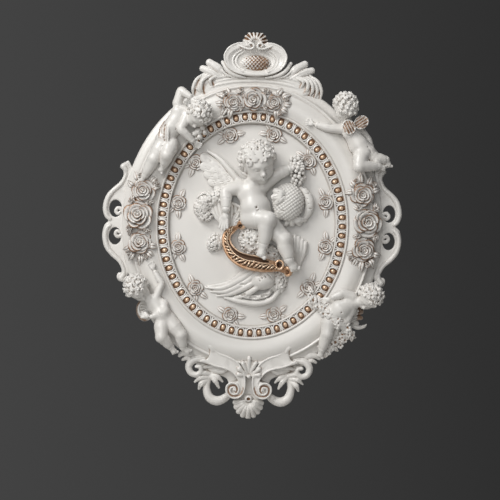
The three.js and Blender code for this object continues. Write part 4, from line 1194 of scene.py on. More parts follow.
# strokes of a child's head in parts of its height, x right, y up, z forwards; each group says whether it is
# done on both sides, and each stroke is a place (a ball) or a list of them (a line), radii, blend and cut
headStrokes = [
    (False, [((0, 0.1, -0.05), (0.4, 0.4, 0.43)), ((0, -0.1, 0.1), (0.335, 0.37, 0.31), 0.1),
             ((0, 0.13, 0.15), (0.33, 0.28, 0.255), 0.2)]),
    (True, [((0.17, -0.2, 0.23), (0.145, 0.14, 0.14), 0.09)]),
    (False, [((0, -0.415, 0.265), (0.1, 0.075, 0.085), 0.09)]),
    # eye socket, eye, lids and brow
    (True, [((0.145, -0.005, 0.455), (0.095, 0.06, 0.085), 0.07, True),
            ((0.145, -0.02, 0.325), (0.078, 0.062, 0.078), 0.02),
            ([(0.07, -0.025, 0.385), (0.145, 0.022, 0.408), (0.222, -0.015, 0.345)],
             [0.014, 0.02, 0.014], 0.03),
            ([(0.085, -0.05, 0.385), (0.145, -0.075, 0.395), (0.21, -0.045, 0.35)],
             [0.01, 0.014, 0.01], 0.03),
            ([(0.08, -0.032, 0.402), (0.145, -0.04, 0.412), (0.215, -0.03, 0.36)],
             [0.005, 0.008, 0.005], 0.01, True),
            ([(0.06, 0.065, 0.405), (0.15, 0.105, 0.385), (0.245, 0.06, 0.295)], [0.02, 0.03, 0.02], 0.08)]),
    # nose
    (False, [([(0, 0.04, 0.385), (0, -0.07, 0.425), (0, -0.135, 0.465)], [0.035, 0.042, 0.05], 0.07),
             ((0, -0.145, 0.472), (0.056, 0.046, 0.05), 0.04)]),
    (True, [((0.048, -0.162, 0.435), (0.036, 0.03, 0.04), 0.03),
            ((0.022, -0.192, 0.452), (0.013, 0.012, 0.018), 0.015, True)]),
    # mouth
    (False, [((0, -0.275, 0.345), (0.15, 0.085, 0.08), 0.08),
             ([(-0.098, -0.277, 0.385), (-0.04, -0.256, 0.418), (0, -0.262, 0.423), (0.04, -0.256, 0.418),
               (0.098, -0.277, 0.385)], [0.01, 0.022, 0.018, 0.022, 0.01], 0.03),
             ([(-0.06, -0.31, 0.398), (0, -0.322, 0.414), (0.06, -0.31, 0.398)], [0.016, 0.028, 0.016], 0.03),
             ([(-0.108, -0.276, 0.39), (-0.05, -0.285, 0.427), (0, -0.282, 0.437), (0.05, -0.285, 0.427),
               (0.108, -0.276, 0.39)], [0.01, 0.009, 0.008, 0.009, 0.01], 0.015, True),
             ((0, -0.362, 0.402), (0.07, 0.022, 0.03), 0.04, True),
             ([(0, -0.2, 0.425), (0, -0.245, 0.432)], [0.008, 0.012], 0.02, True)]),
    # ears, and the cap under the hair
    (True, [((0.395, -0.06, -0.02), (0.05, 0.1, 0.065), 0.03),
            ((0.44, -0.05, 0), (0.025, 0.055, 0.035), 0.02, True)]),
    (False, [((0, 0.17, -0.06), (0.44, 0.4, 0.45), 0.04), ((0, -0.1, -0.17), (0.4, 0.36, 0.33), 0.08)]),
]


def cherubHead(clay, place, height, face, crown, seed, curls):
    clay.stand(basisOf(face, crown), place, height)
    for both, strokes in headStrokes:
        for side in (1, -1) if both else (1,):
            for places, radii, *rest in strokes:
                if isinstance(places, list):
                    clay.path([(side * x, y, z) for x, y, z in places], radii, *rest)
                else:
                    clay.ball((side * places[0], *places[1:]), radii, *rest)
    # hair: loose curls, each a short coil lying on the cap
    pick = np.random.default_rng(seed)
    golden = pi * (3 - sqrt(5))
    for k in range(curls):
        y = 1 - 2 * (k + 0.5) / curls
        ring = sqrt(1 - y * y)
        t = golden * k
        way = np.array([ring * cos(t), y, ring * sin(t)])
        if (way[1] < 0.22 and way[2] > 0.42) or (way[1] < -0.15 and way[2] > 0.12) or way[1] < -0.92:
            continue
        spot = np.array([0, 0.14, -0.06]) if way[1] > 0 else np.array([0, 0.14, -0.12])
        root = spot + way * np.array([0.43, 0.42 if way[1] > 0 else 0.6, 0.45 if way[1] > 0 else 0.38])
        out = unit(way)
        first = unit(np.cross(out, pick.normal(size=3)))
        second = np.cross(out, first)
        coil = pick.choice((-1, 1))
        size = pick.uniform(0.075, 0.105)
        root = root + out * pick.uniform(-0.015, 0.02)
        clay.ball(root, size * 1.05, 0.02)
        rows = []
        for i in range(6):
            turn = coil * i * 1.05
            rows.append(root + (first * cos(turn) + second * sin(turn)) * size * (1.05 - 0.16 * i)
                + out * (0.03 + 0.016 * i))
        clay.path(rows, [0.046, 0.045, 0.043, 0.041, 0.038, 0.034], 0.006, detail=2)
        clay.ball(root + out * (size + 0.03), 0.03, 0.01, True)
    clay.rest()


def handShape(clay, wrist, hand, h, curl, long):
    # palm, four fingers side by side and a thumb; h is the head's height here and below
    way = unit(np.asarray(hand) - wrist)
    side = unit(np.cross(way, np.cross((-way[1], way[0], 0.25), way)))
    over = np.cross(way, side)
    palm = np.asarray(hand) + way * 0.02 * h
    clay.ball(palm, (0.12 * h, 0.105 * h, 0.062 * h), 0.05 * h, axes=(way, side, over))
    for k, (reach, place) in enumerate(((0.16, -0.078), (0.19, -0.027), (0.185, 0.026), (0.15, 0.076))):
        start = palm + way * 0.07 * h + side * place * h
        bend = over * curl * 0.09 * h
        reach = reach * long
        middle = start + way * reach * 0.5 * h + side * place * 0.25 * h + bend * 0.4
        end = start + way * reach * (0.95 - 0.5 * abs(curl)) * h + side * place * 0.5 * h + bend * 1.6
        clay.path([start, middle, end], [0.042 * h, 0.04 * h, 0.033 * h], 0.012 * h)
    clay.path([palm - side * 0.08 * h, palm - side * 0.14 * h + way * 0.07 * h,
        palm - side * 0.13 * h + way * 0.15 * h], [0.04 * h, 0.037 * h, 0.027 * h], 0.02 * h)


def footShape(clay, ankle, toe, h):
    ankle, toe = np.asarray(ankle, float), np.asarray(toe, float)
    way = unit(toe - ankle)
    up = unit(np.cross(way, np.cross((0.0, 0.3, 1), way)))
    side = np.cross(way, up)
    ball = ankle + way * 0.2 * h
    clay.ball(ankle - way * 0.05 * h - up * 0.02 * h, (0.115 * h, 0.1 * h, 0.11 * h), 0.06 * h,
        axes=(way, side, up))
    clay.path([ankle, ankle + way * 0.13 * h, ball + way * 0.06 * h], [0.12 * h, 0.11 * h, 0.1 * h], 0.05 * h)
    clay.ball(ball + way * 0.03 * h, (0.11 * h, 0.13 * h, 0.085 * h), 0.05 * h, axes=(way, side, up))
    for k in range(5):
        place = (k - 2) * 0.052 * h
        size = (0.055 if k == 0 else 0.042 - 0.002 * k) * h
        clay.ball(ball + way * (0.15 - 0.012 * k) * h + side * place + up * 0.01 * h, size * 1.15, 0.015 * h)


def modelCherub(clay, pose, anchor, h, seed, curls):
    # trunk, arms, legs and head, each swelling joined softly to the last
    at = lambda name: np.array(anchor, float) + np.array(pose[name], float)
    pelvis, belly, chest, neck, head = (at(n) for n in ("pelvis", "belly", "chest", "neck", "head"))
    up = unit(chest - pelvis)
    front = unit(np.asarray(pose["front"], float) - up * (np.asarray(pose["front"]) @ up))
    side = np.cross(up, front)
    axes, wide = (side, up, front), pose["body"] * h
    clay.path([pelvis, belly, chest, neck], [0.33 * wide, 0.36 * wide, 0.3 * wide, 0.18 * h], 0.05 * h,
        detail=5)
    clay.ball(pelvis, (0.42 * wide, 0.31 * h, 0.31 * h), 0.1 * h, axes=axes)
    clay.ball(belly + front * 0.08 * h, (0.38 * wide, 0.34 * h, 0.32 * h), 0.08 * h, axes=axes)
    clay.ball(chest, (0.39 * wide, 0.29 * h, 0.27 * h), 0.1 * h, axes=axes)
    for way in (1, -1):
        clay.ball(chest + side * way * 0.15 * h + front * 0.13 * h + up * 0.02 * h,
            (0.15 * h, 0.13 * h, 0.11 * h), 0.06 * h, axes=axes)
        clay.ball(pelvis - front * 0.15 * h + side * way * 0.15 * h - up * 0.05 * h, 0.21 * h, 0.05 * h)
    clay.path([at("shoulderA"), chest + up * 0.1 * h, at("shoulderB")], [0.17 * h, 0.22 * h, 0.17 * h],
        0.08 * h)
    clay.path([neck - (head - neck) * 0.2, neck, neck + (head - neck) * 0.6], girths["neck"] * h, 0.06 * h)
    # lines of the body: breast folds, middle line, navel, spine
    for way in (1, -1):
        clay.path([chest + side * way * 0.05 * h - up * 0.1 * h + front * 0.27 * h,
            chest + side * way * 0.17 * h - up * 0.12 * h + front * 0.24 * h, chest + side * way * 0.29 * h
            - up * 0.03 * h + front * 0.15 * h], [0.008 * h, 0.016 * h, 0.008 * h], 0.04 * h, True)
        clay.path([pelvis + side * way * 0.34 * h + up * 0.14 * h + front * 0.16 * h,
            pelvis + side * way * 0.2 * h - up * 0.02 * h + front * 0.3 * h, pelvis + side * way * 0.06 * h
            - up * 0.14 * h + front * 0.31 * h], [0.008 * h, 0.018 * h, 0.012 * h], 0.04 * h, True)
    clay.ball(belly + front * 0.41 * h - up * 0.03 * h, (0.028 * h, 0.035 * h, 0.05 * h), 0.03 * h, True,
        axes=axes)
    clay.path([chest - front * 0.27 * h + up * 0.1 * h, belly - front * 0.31 * h,
        pelvis - front * 0.33 * h + up * 0.08 * h], [0.02 * h, 0.028 * h, 0.02 * h], 0.06 * h, True)
    clay.path([pelvis - front * 0.37 * h + up * 0.02 * h, pelvis - front * 0.34 * h - up * 0.14 * h,
        pelvis - front * 0.2 * h - up * 0.27 * h], [0.012 * h, 0.028 * h, 0.02 * h], 0.04 * h, True)
    g, arms, legs = girths, pose["arms"] * h, pose["legs"] * h
    for arm in ("A", "B"):
        shoulder, elbow, wrist, hand = (at(n + arm) for n in ("shoulder", "elbow", "wrist", "hand"))
        mid = shoulder + (elbow - shoulder) * 0.5
        low = elbow + (wrist - elbow) * 0.35
        clay.path([shoulder, mid, elbow, low, wrist], [g["shoulder"] * arms, 0.18 * arms, g["elbow"] * arms,
            0.165 * arms, g["wrist"] * arms], 0.07 * h, detail=5)
        clay.ring(wrist + (elbow - wrist) * 0.04, wrist - elbow, 0.124 * arms, 0.01 * h, 0.03 * h)
        clay.ring(elbow + (wrist - elbow) * 0.45, wrist - elbow, 0.168 * arms, 0.006 * h, 0.03 * h)
        handShape(clay, wrist, hand, h, pose.get("curl" + arm, 0.3), pose.get("long" + arm, 1.0))
    for leg in ("A", "B"):
        hip, knee, ankle, toe = (at(n + leg) for n in ("hip", "knee", "ankle", "toe"))
        thigh = hip + (knee - hip) * 0.4
        calf, shin = knee + (ankle - knee) * 0.32, knee + (ankle - knee) * 0.68
        back = unit(np.cross(np.cross(ankle - knee, hip - knee), ankle - knee) + 1e-6)
        clay.path([hip, thigh, knee], [g["thigh"] * legs, 0.29 * legs, g["knee"] * legs], 0.06 * h, detail=5)
        clay.path([knee, calf + back * 0.03 * h, shin, ankle], [g["knee"] * legs, 0.222 * legs, 0.185 * legs,
            g["ankle"] * legs], 0.06 * h, detail=5)
        clay.ball(knee, 0.212 * legs, 0.06 * h)
        clay.ring(thigh + (knee - hip) * 0.18, knee - hip, 0.288 * legs, 0.01 * h, 0.035 * h)
        clay.ring(ankle + (knee - ankle) * 0.06, ankle - knee, 0.148 * legs, 0.008 * h, 0.03 * h)
        footShape(clay, ankle, toe, h)
    cherubHead(clay, head, h, pose["face"], pose["crown"], seed, curls)


jointNames = (
    "head", "neck", "chest", "belly", "pelvis", "shoulderA", "elbowA", "wristA", "handA",
    "shoulderB", "elbowB", "wristB", "handB", "hipA", "kneeA", "ankleA", "toeA",
    "hipB", "kneeB", "ankleB", "toeB",
)


def posed(places, **settings):
    # a figure's joints from its own middle, head first, then the arms and the legs
    return {**settings, **dict(zip(jointNames, places))}


poses = {
    "centre": posed([
        (4, 79, 28), (-4, 53, 20), (-6, 36, 15), (0, 14, 16), (2, 0, 14), (-23, 45, 15), (-45, 36, 20),
        (-45, 9, 27), (-46, -2, 27), (11, 47, 14), (36, 66, 14), (52, 73, 15), (60, 76, 15),
        (-7, -4, 18), (21, -6, 37), (14, -45, 31), (11, -60, 33), (12, -5, 14), (46, -36, 25),
        (54, -67, 25), (64, -82, 22)],
        front=(0.1, -0.05, 1), face=(0.27, -0.42, 0.86), crown=(-0.18, 0.9, 0.4), legs=1.02, body=1.1,
        arms=1.06, longA=1.7, curlA=0.1),
    "upperLeft": posed([
        (43, 38, 15), (31, 40, 10), (16, 43, 5), (4, 21, 5), (-7, 0, 4), (11, 57, 7), (16, 76, 9),
        (30, 67, 15), (35, 61, 17), (26, 37, 11), (18, 16, 18), (35, 0, 13), (41, -4, 10),
        (-10, -6, 5), (-24, -30, 9), (-37, -55, 3), (-44, -64, 2), (2, -7, 6), (-3, -24, 18),
        (-8, -38, 8), (-13, -47, 6)],
        angle=139.8, offset=39.9, front=(0.3, -0.5, 0.8), legs=1.2, arms=1.1, body=1.05,
        face=(-0.05, -0.85, 0.35), crown=(0.62, 0.25, 0.74)),
    "upperRight": posed([
        (-31, 64, 13), (-27, 45, 6), (-20, 29, 2), (-8, 9, 2), (2, -2, 2), (-32, 33, 3), (-53, 33, 4),
        (-72, 38, 3), (-81, 40, 2), (-8, 32, -1), (4, 20, -4), (11, 8, -4), (12, 0, -4), (-4, -4, 6),
        (-8, -26, 16), (22, -24, 6), (34, -27, 2), (6, -4, -1), (20, -14, 2), (35, -13, -1),
        (41, -25, -3)],
        angle=31.3, offset=69.3, front=(-0.5, -0.15, -0.85), legs=1.12, arms=1.15, body=1.12,
        face=(-0.55, -0.35, -0.76), crown=(-0.1, 0.95, -0.1)),
    "lowerLeft": posed([
        (-41, 46, 12), (-27, 33, 7), (-15, 23, 3), (-5, 9, 4), (2, -2, 2), (-14, 33, 6), (-6, 55, 5),
        (-16, 72, 4), (-20, 79, 3), (-1, 24, 7), (1, 13, 13), (-19, 4, 14), (-27, 5, 12), (-4, -3, 5),
        (-4, -27, 13), (10, -42, 4), (16, -50, 3), (8, -3, 3), (26, -23, 7), (29, -43, 0),
        (38, -50, -1)],
        angle=-135.6, offset=54.7, front=(0.1, -0.1, 1), legs=1.12, body=1.05, arms=0.88,
        face=(0.42, -0.72, 0.55), crown=(-0.42, 0.38, 0.82)),
    "lowerRight": posed([
        (55, 28, 12), (39, 22, 9), (25, 17, 5), (12, 9, 7), (0, 0, 4), (29, 29, 9), (15, 34, 12),
        (0, 28, 13), (-8, 24, 11), (28, 8, 6), (22, -6, 9), (10, -12, 9), (4, -13, 7), (-4, 0, 5),
        (-8, -29, 10), (-15, -53, 4), (-20, -74, 0), (4, -4, 0), (4, -26, -5), (0, -42, -9),
        (-3, -50, -12)],
        angle=-42.9, offset=43.3, front=(-0.1, -0.35, 1), legs=1.15, arms=1.15, body=1.2,
        face=(-0.3, -0.78, 0.5), crown=(0.5, 0.3, 0.8)),
}
cherubSize = {"centreHead": 55, "cornerHead": 37, "centreCurls": 92, "cornerCurls": 70}


def featheredWing(clay, outline, root, tips, rows, low):
    # a flat wing, with rows of rounded feathers laid over it from the edge towards the shoulder
    root = np.asarray(root, float)
    clay.plate(outline, low - 1, edge=2.0, smooth=4)
    for level, share in enumerate(rows):
        for k, tip in enumerate(tips):
            reach = (np.asarray(tip, float) - root) * share
            start, stop = root + reach * 0.35, root + reach
            near, far = np.asarray(tips[max(k - 1, 0)], float), np.asarray(tips[min(k + 1, len(tips) - 1)],
                float)
            gap = np.linalg.norm(near - far) / (2 if 0 < k < len(tips) - 1 else 1)
            wide = max(2.4, gap * 0.6 * (0.4 + 0.6 * share))
            z = low + 2.3 * level + 0.45 * k
            clay.path([(*start, z), (*((start + stop) / 2), z + 0.8), (*stop, z - 1.0)],
                [wide * 0.7, wide, wide * 0.92], 0.15, flat=2.4 / wide, detail=4)
            for side in (-1, 0, 1):
                # barbs pressed into the rounded tip
                end = root + reach * 0.99 + (np.asarray(far) - near) * side * 0.14
                clay.path([(*(start + (stop - start) * 0.45), z + 2.6), (*end, z + 1.4)], [0.3, 0.7], 0.4, True)


def cornerClay(name, seed, wings):
    pose = poses[name]
    x, y, _ = onBand(pose["angle"], pose["offset"])
    anchor = (x, y, oval["panelTop"])
    joints = np.array([v for k, v in pose.items() if k[-1] in "AB" or k in ("head", "neck", "pelvis")]) + anchor
    low, high = joints.min(0) - 26, joints.max(0) + 26
    low[2], high[2] = -1.4, min(high[2], 68.4)
    clay = Clay(low, high, 0.7)
    gold = wings(clay, anchor)
    modelCherub(clay, pose, anchor, cherubSize["cornerHead"], seed, cherubSize["cornerCurls"])
    return clay, gold


def upperLeftWing(clay, anchor):
    # small wing folded over the hip, and a puff of cloth under the head
    x, y, z = anchor
    gold = []
    for k in range(4):
        rows = [(x + 3 - 3.6 * k, y + 34 - 2 * k, z + 9), (x - 2 - 3.8 * k, y + 18 - k, z + 18 - 2 * k),
            (x - 2 - 3.8 * k, y - 3 + 2 * k, z + 19 - 2 * k)]
        clay.path(rows, [1.6, 3.0, 1.6], 0.4)
        gold.append(([(a - 1.8, b, c + 2) for a, b, c in rows], 2.3, 1.1 if k % 2 else 0.45))
    for cx, cy, size in ((44, 14, 6), (50, 20, 5), (38, 10, 5), (46, 6, 4.6), (54, 13, 4.2), (40, 2, 3.8)):
        clay.ball((x + cx, y + cy, z + 4), (size, size, size * 1.4), 0.6)
    return gold


def upperRightWing(clay, anchor):
    # two small round lobes over the shoulder blades, ribbed and mottled
    x, y, z = anchor
    gold = []
    for cx, cy, cz, tilt in ((-25, 34, 18, -1.1), (-6, 42, 14, 0.6)):
        axes = (np.array([cos(tilt), sin(tilt), 0]), np.array([-sin(tilt), cos(tilt), 0]),
            np.array([0, 0, 1.0]))
        hub = np.array([x + cx, y + cy, z + cz])
        clay.ball(hub - (0, 0, 5), (8, 8, 8), 2, axes=axes)
        clay.ball(hub, (11.8, 9.8, 4.2), 1, axes=axes)
        for k in range(-4, 5):
            start = hub + axes[0] * 10 * cos(k * 0.3) + axes[1] * k * 2.15 + axes[2] * 2.4
            stop = hub - axes[0] * 9 * cos(k * 0.3) + axes[1] * k * 1.9 + axes[2] * 2.6
            middle = (start + stop) / 2 + axes[2] * 1.5
            clay.path([start, middle, stop], 0.8, 0.2, True)
            if k % 2 == 0:
                gold.append(([start, middle, stop], 2.1, 1.4))
        ring = [hub + axes[0] * 11 * cos(a) + axes[1] * 9.2 * sin(a) + axes[2] * 1.6
            for a in np.linspace(0, 2 * pi, 13)]
        clay.path(ring, 1.1, 0.4)
    return gold


def lowerLeftWing(clay, anchor):
    # small cupped wing like half a shell, hanging out over the rim
    x, y, z = anchor
    clay.ball((x - 32, y + 13, z - 14), (14, 18, 9), 2)
    clay.ball((x - 31, y + 15, z - 5), (10.5, 14, 8), 1, True)
    for k in range(5):
        angle = radians(165 + 20 * k)
        clay.path([(x - 24, y + 18, z - 9), (x - 26 + cos(angle) * 10, y + 16 + sin(angle) * 12, z - 10),
            (x - 27 + cos(angle) * 17, y + 15 + sin(angle) * 19, z - 11)], [0.6, 1.0, 1.0], 0.6)
    return [([(x - 42, y + 26, 16), (x - 46, y + 14, 16), (x - 41, y + 2, 16), (x - 28, y - 5, 16)], 3.6, 1.0)]


def lowerRightWing(clay, anchor):
    # cloth drawn across the hip, a small dark wing behind and its curled tip
    x, y, z = anchor
    lobedLeaf(clay, (x + 26, y - 4), [(x + 40, y - 13), (x + 46, y - 4), (x + 47, y + 6), (x + 44, y + 14)],
        4.4, z - 6)
    clay.path([(x + 28, y - 15, z - 10), (x + 40, y - 19, z - 8), (x + 50, y - 17.5, z - 8),
        (x + 54, y - 14, z - 9)], [3.0, 3.6, 2.6, 1.0], 0.5)
    for k in range(4):
        clay.path([(x + 4 - k, y - 1 - 3.4 * k, z + 15 - k), (x + 22, y - 1 - 3.6 * k, z + 12 - 1.5 * k),
            (x + 40 - k, y + 7 - 4.5 * k, z + 3 - 2 * k)], [1.4, 2.4, 1.4], 0.6)
    return [([(x + 42, y + 10, 18), (x + 44, y - 2, 18)], 9, 1.0)]


corners = {
    "upperLeft": (71, upperLeftWing), "upperRight": (83, upperRightWing),
    "lowerLeft": (97, lowerLeftWing), "lowerRight": (109, lowerRightWing),
}
for cornerName, (cornerSeed, cornerWings) in corners.items():
    cornerBlock, cornerGold = cornerClay(cornerName, cornerSeed, cornerWings)
    cornerBlock.settle(2.5)
    keep(cornerName + "Cherub", cornerBlock.model(cornerName + "Cherub", cornerGold, 0.01), rubbedIvory)
print("corner cherubs")

centre = (4, 14, oval["fieldTop"])


def centreCherub():
    clay = Clay((-92, -92, 8), (86, 136, 68.4), 0.65)
    outline = [(-71.5, 113), (-62, 109), (-52, 102), (-42, 91), (-32, 80), (-20, 69), (-18, 58), (-30, 54),
        (-40, 56), (-54, 56), (-63, 64), (-67, 74), (-70, 86), (-74, 96), (-74, 106)]
    tips = [(-76, 103), (-76, 89), (-70, 77), (-63, 65.5), (-54, 55), (-43, 50)]
    featheredWing(clay, outline, (-16, 66), tips, (1.0, 0.74, 0.5), 18)
    clay.path([(-14, 60, 24), (-32, 79, 26), (-43, 91.5, 25), (-54, 102.5, 23), (-71, 113, 19)],
        [5, 4.6, 4.2, 3.4, 2], 0.6)
    modelCherub(clay, poses["centre"], centre, cherubSize["centreHead"], 5, cherubSize["centreCurls"])
    clay.settle(2.5)
    return clay.model("centreCherub", [], 0.008)


keep("centreCherub", centreCherub(), rubbedIvory)
print("centre cherub")

carp = {"centre": (55, 36, 25), "radii": (25, 30, 18), "scale": 4.4, "scaleRise": 1.5, "slant": (0.8, 0.6)}


def carpMesh():
    clay = Clay((26, -2, 8), (96, 78, 58), 0.65)
    c, r, s = carp["centre"], carp["radii"], carp["slant"]

    def onBody(x, y, z):
        # places in parts of the body's radii, and how far they are from the two seams of the slanted scales
        u = ((x - c[0]) * s[0] + (y - c[1]) * s[1]) / carp["scale"]
        v = (-(x - c[0]) * s[1] + (y - c[1]) * s[0]) / carp["scale"]
        p = [(x - c[0]) / r[0], (y - c[1]) / r[1], (z - c[2]) / r[2]]
        return p, np.abs(np.sin(np.pi * u)), np.abs(np.sin(np.pi * v))

    where, grid = clay.cells([c], max(r) + 3)
    p, along, across = onBody(*grid)
    near = np.sqrt(p[0] ** 2 + p[1] ** 2 + p[2] ** 2)
    slope = np.sqrt((p[0] / r[0]) ** 2 + (p[1] / r[1]) ** 2 + (p[2] / r[2]) ** 2) + 1e-6
    scales = (along * across) ** 0.55
    clay.press(where, near * (near - 1) / slope - carp["scaleRise"] * (scales - 0.6), 0.0)
    # head below, mouth, gill and eye
    clay.path([(49, 30, 26), (43, 20, 26), (38, 13, 25)], [11, 9.5, 7], 2.0)
    clay.ball((35.5, 10.5, 26), (3.4, 3, 5), 1, True)
    clay.path([(38, 27, 38), (46, 22, 39), (53, 24, 38)], [0.6, 1.2, 0.6], 0.8, True)
    clay.ball((40, 20, 34.5), 2.4, 0.6)
    # fins: two round lobes, crescent on the back, tail
    for k, (tip, size) in enumerate((((36, 52), 5.6), ((33, 43), 5.2), ((38, 35), 4.6))):
        clay.path([(52, 46, 36), (44, (46 + tip[1]) / 2, 40), (tip[0], tip[1], 37)], [4, 6, size], 0.8,
            flat=0.75)
        clay.path([(50, 46, 41.5), (43, (46 + tip[1]) / 2, 45), (tip[0] + 1, tip[1], 41)], [0.5, 0.8, 0.5], 0.6,
            True)
    clay.path([(66, 60, 18), (80, 53, 21), (88, 38, 22), (87, 22, 20), (80, 10, 17)], [4, 6, 7.5, 6.5, 3.5],
        1.0, flat=0.8)
    for k in range(7):
        t = k / 6
        x0, y0 = 74 + 7 * sin(pi * t), 56 - 42 * t
        clay.path([(x0, y0, 28.5 - abs(t - 0.5) * 3), (x0 + 11, y0 + 2 - 5 * t, 25)], [0.5, 0.9], 0.6, True)
    for tip, size in (((52, -0, 20), 3.6), ((62, 1, 21), 4.2), ((73, 3, 20), 4.0), ((82, 9, 18), 3.4)):
        clay.path([(62, 16, 22), ((62 + tip[0]) / 2, 9, 25), tip], [6, 5, size], 0.8, flat=0.8)
        clay.path([(62, 16, 28), ((62 + tip[0]) / 2 + 1, 8, 29), (tip[0] + 1, tip[1] + 3, 24)], [0.4, 0.9, 0.4],
            0.5, True)
    clay.settle(2.0)
    mesh = clay.model("carp", [], 0.004)
    at = placesOf(mesh).astype(float) * 1000
    p, along, across = onBody(at[:, 0], at[:, 2], -at[:, 1])
    # painted shade in the seams between the scales, added to the sheltered hollows
    seam = 1 - np.clip(np.minimum(along, across) * 2.2, 0, 1)
    scaled = np.abs(np.sqrt(p[0] ** 2 + p[1] ** 2 + p[2] ** 2) - 1) < 0.12
    shelter = np.zeros(len(at), np.float32)
    mesh.attributes["recess"].data.foreach_get("value", shelter)
    setMark(mesh, "recess", shelter * 0.8 + seam * scaled * 0.3)
    return mesh


keep("carp", carpMesh(), rubbedIvory)


# grapes and blossoms strewn over a soft mass by geometry nodes
def strewnTree():
    tree = nodeTree("strewn", [("Mass", "Object", None), ("Ornament", "Object", None),
        ("Spacing", "Float", 0.004), ("Least Size", "Float", 0.9), ("Most Size", "Float", 1.1),
        ("Seed", "Int", 3), ("Finish", "Material", None)])
    given = place(tree, "NodeGroupInput")
    mass = place(tree, "GeometryNodeObjectInfo", {"transform_space": "ORIGINAL"}, Object=given.outputs["Mass"])
    ornament = place(tree, "GeometryNodeObjectInfo", {"transform_space": "ORIGINAL"},
        Object=given.outputs["Ornament"])
    points = place(tree, "GeometryNodeDistributePointsOnFaces", {"distribute_method": "POISSON"},
        Mesh=mass.outputs["Geometry"], Distance_Min=given.outputs["Spacing"], Density_Max=400000.0,
        Seed=given.outputs["Seed"])
    size = place(tree, "FunctionNodeRandomValue", {"data_type": "FLOAT"}, Seed=given.outputs["Seed"])
    tree.links.new(given.outputs["Least Size"], size.inputs[2])
    tree.links.new(given.outputs["Most Size"], size.inputs[3])
    placed = place(tree, "GeometryNodeInstanceOnPoints", Points=points.outputs[0],
        Instance=ornament.outputs["Geometry"], Scale=size.outputs[1])
    tree.links.new(points.outputs["Rotation"], placed.inputs["Rotation"])
    whole = place(tree, "GeometryNodeRealizeInstances", Geometry=placed.outputs[0])
    return ended(tree, whole.outputs[0], given.outputs["Finish"])


strewTree = strewnTree()


def grapeMesh(radius):
    clay = Clay((-radius - 1,) * 3, (radius + 1,) * 3, radius / 5)
    clay.low[2] = 1.0
    clay.ball((0, 0, 2 + radius), radius)
    clay.ball((0.2, 0.1, 2 + 2 * radius), radius * 0.16, radius * 0.1, True)
    mesh = clay.model("grape", [], 0.02, share=0.25)
    mesh.transform(Matrix.Translation((0, (2 + radius * 0.75) * 0.001, 0)))
    mesh.transform(Matrix.Rotation(-pi / 2, 4, "X"))
    heights = placesOf(mesh)[:, 2].astype(float) * 1000
    # painted shade: each grape darker towards its bottom
    setMark(mesh, "recess", 0.6 - heights / radius * 0.5)
    return mesh


def lumpMass(name, lumps, step=1.2, margin=3):
    low = np.min([np.subtract(c, r) for c, r in lumps], 0) - margin
    high = np.max([np.add(c, r) for c, r in lumps], 0) + margin
    clay = Clay(low, high, step)
    for spot, radii in lumps:
        clay.ball(spot, radii, 3.0)
    return clay.model(name, share=1)


def strewn(name, mass, ornament, spacing, sizes, seed, material):
    massObject = makeObject(name + "Mass", mass)
    ornamentObject = makeObject(name + "One", ornament)
    mesh = baked(name, strewTree, {
        "Mass": massObject, "Ornament": ornamentObject, "Spacing": spacing * 0.001, "Least Size": sizes[0],
        "Most Size": sizes[1], "Seed": seed, "Finish": material})
    keep(name, mesh)
    bpy.data.objects.remove(massObject)
    bpy.data.objects.remove(ornamentObject)
    print(f"  {name}: {len(mesh.polygons)} faces")


grapes = {
    "radius": 3.2, "spacing": 5.2, "sizes": (0.9, 1.12), "seed": 4,
    "lumps": [((67, 88, 22), (11, 10, 9)), ((69, 76, 22), (9, 12, 9)), ((66, 100, 20), (8, 7, 7))],
}
strewn("grapes", lumpMass("grapeMass", grapes["lumps"]), grapeMesh(grapes["radius"]), grapes["spacing"],
    grapes["sizes"], grapes["seed"], rubbedIvory)
print("carp and grapes")

boat = {
    "line": [(-20, -1, 24), (-31, -8, 26), (-38.5, -17, 27), (-39, -28, 29), (-33, -41, 31), (-23, -51, 33),
             (-9, -57.5, 34), (5, -60, 34), (20, -62.5, 33), (34, -64, 31), (46, -66, 29), (56, -72, 26)],
    "size": [4, 5, 5.4, 6.2, 8.2, 9.8, 11.4, 12, 10.8, 8, 6, 4.4], "ribs": 21,
}


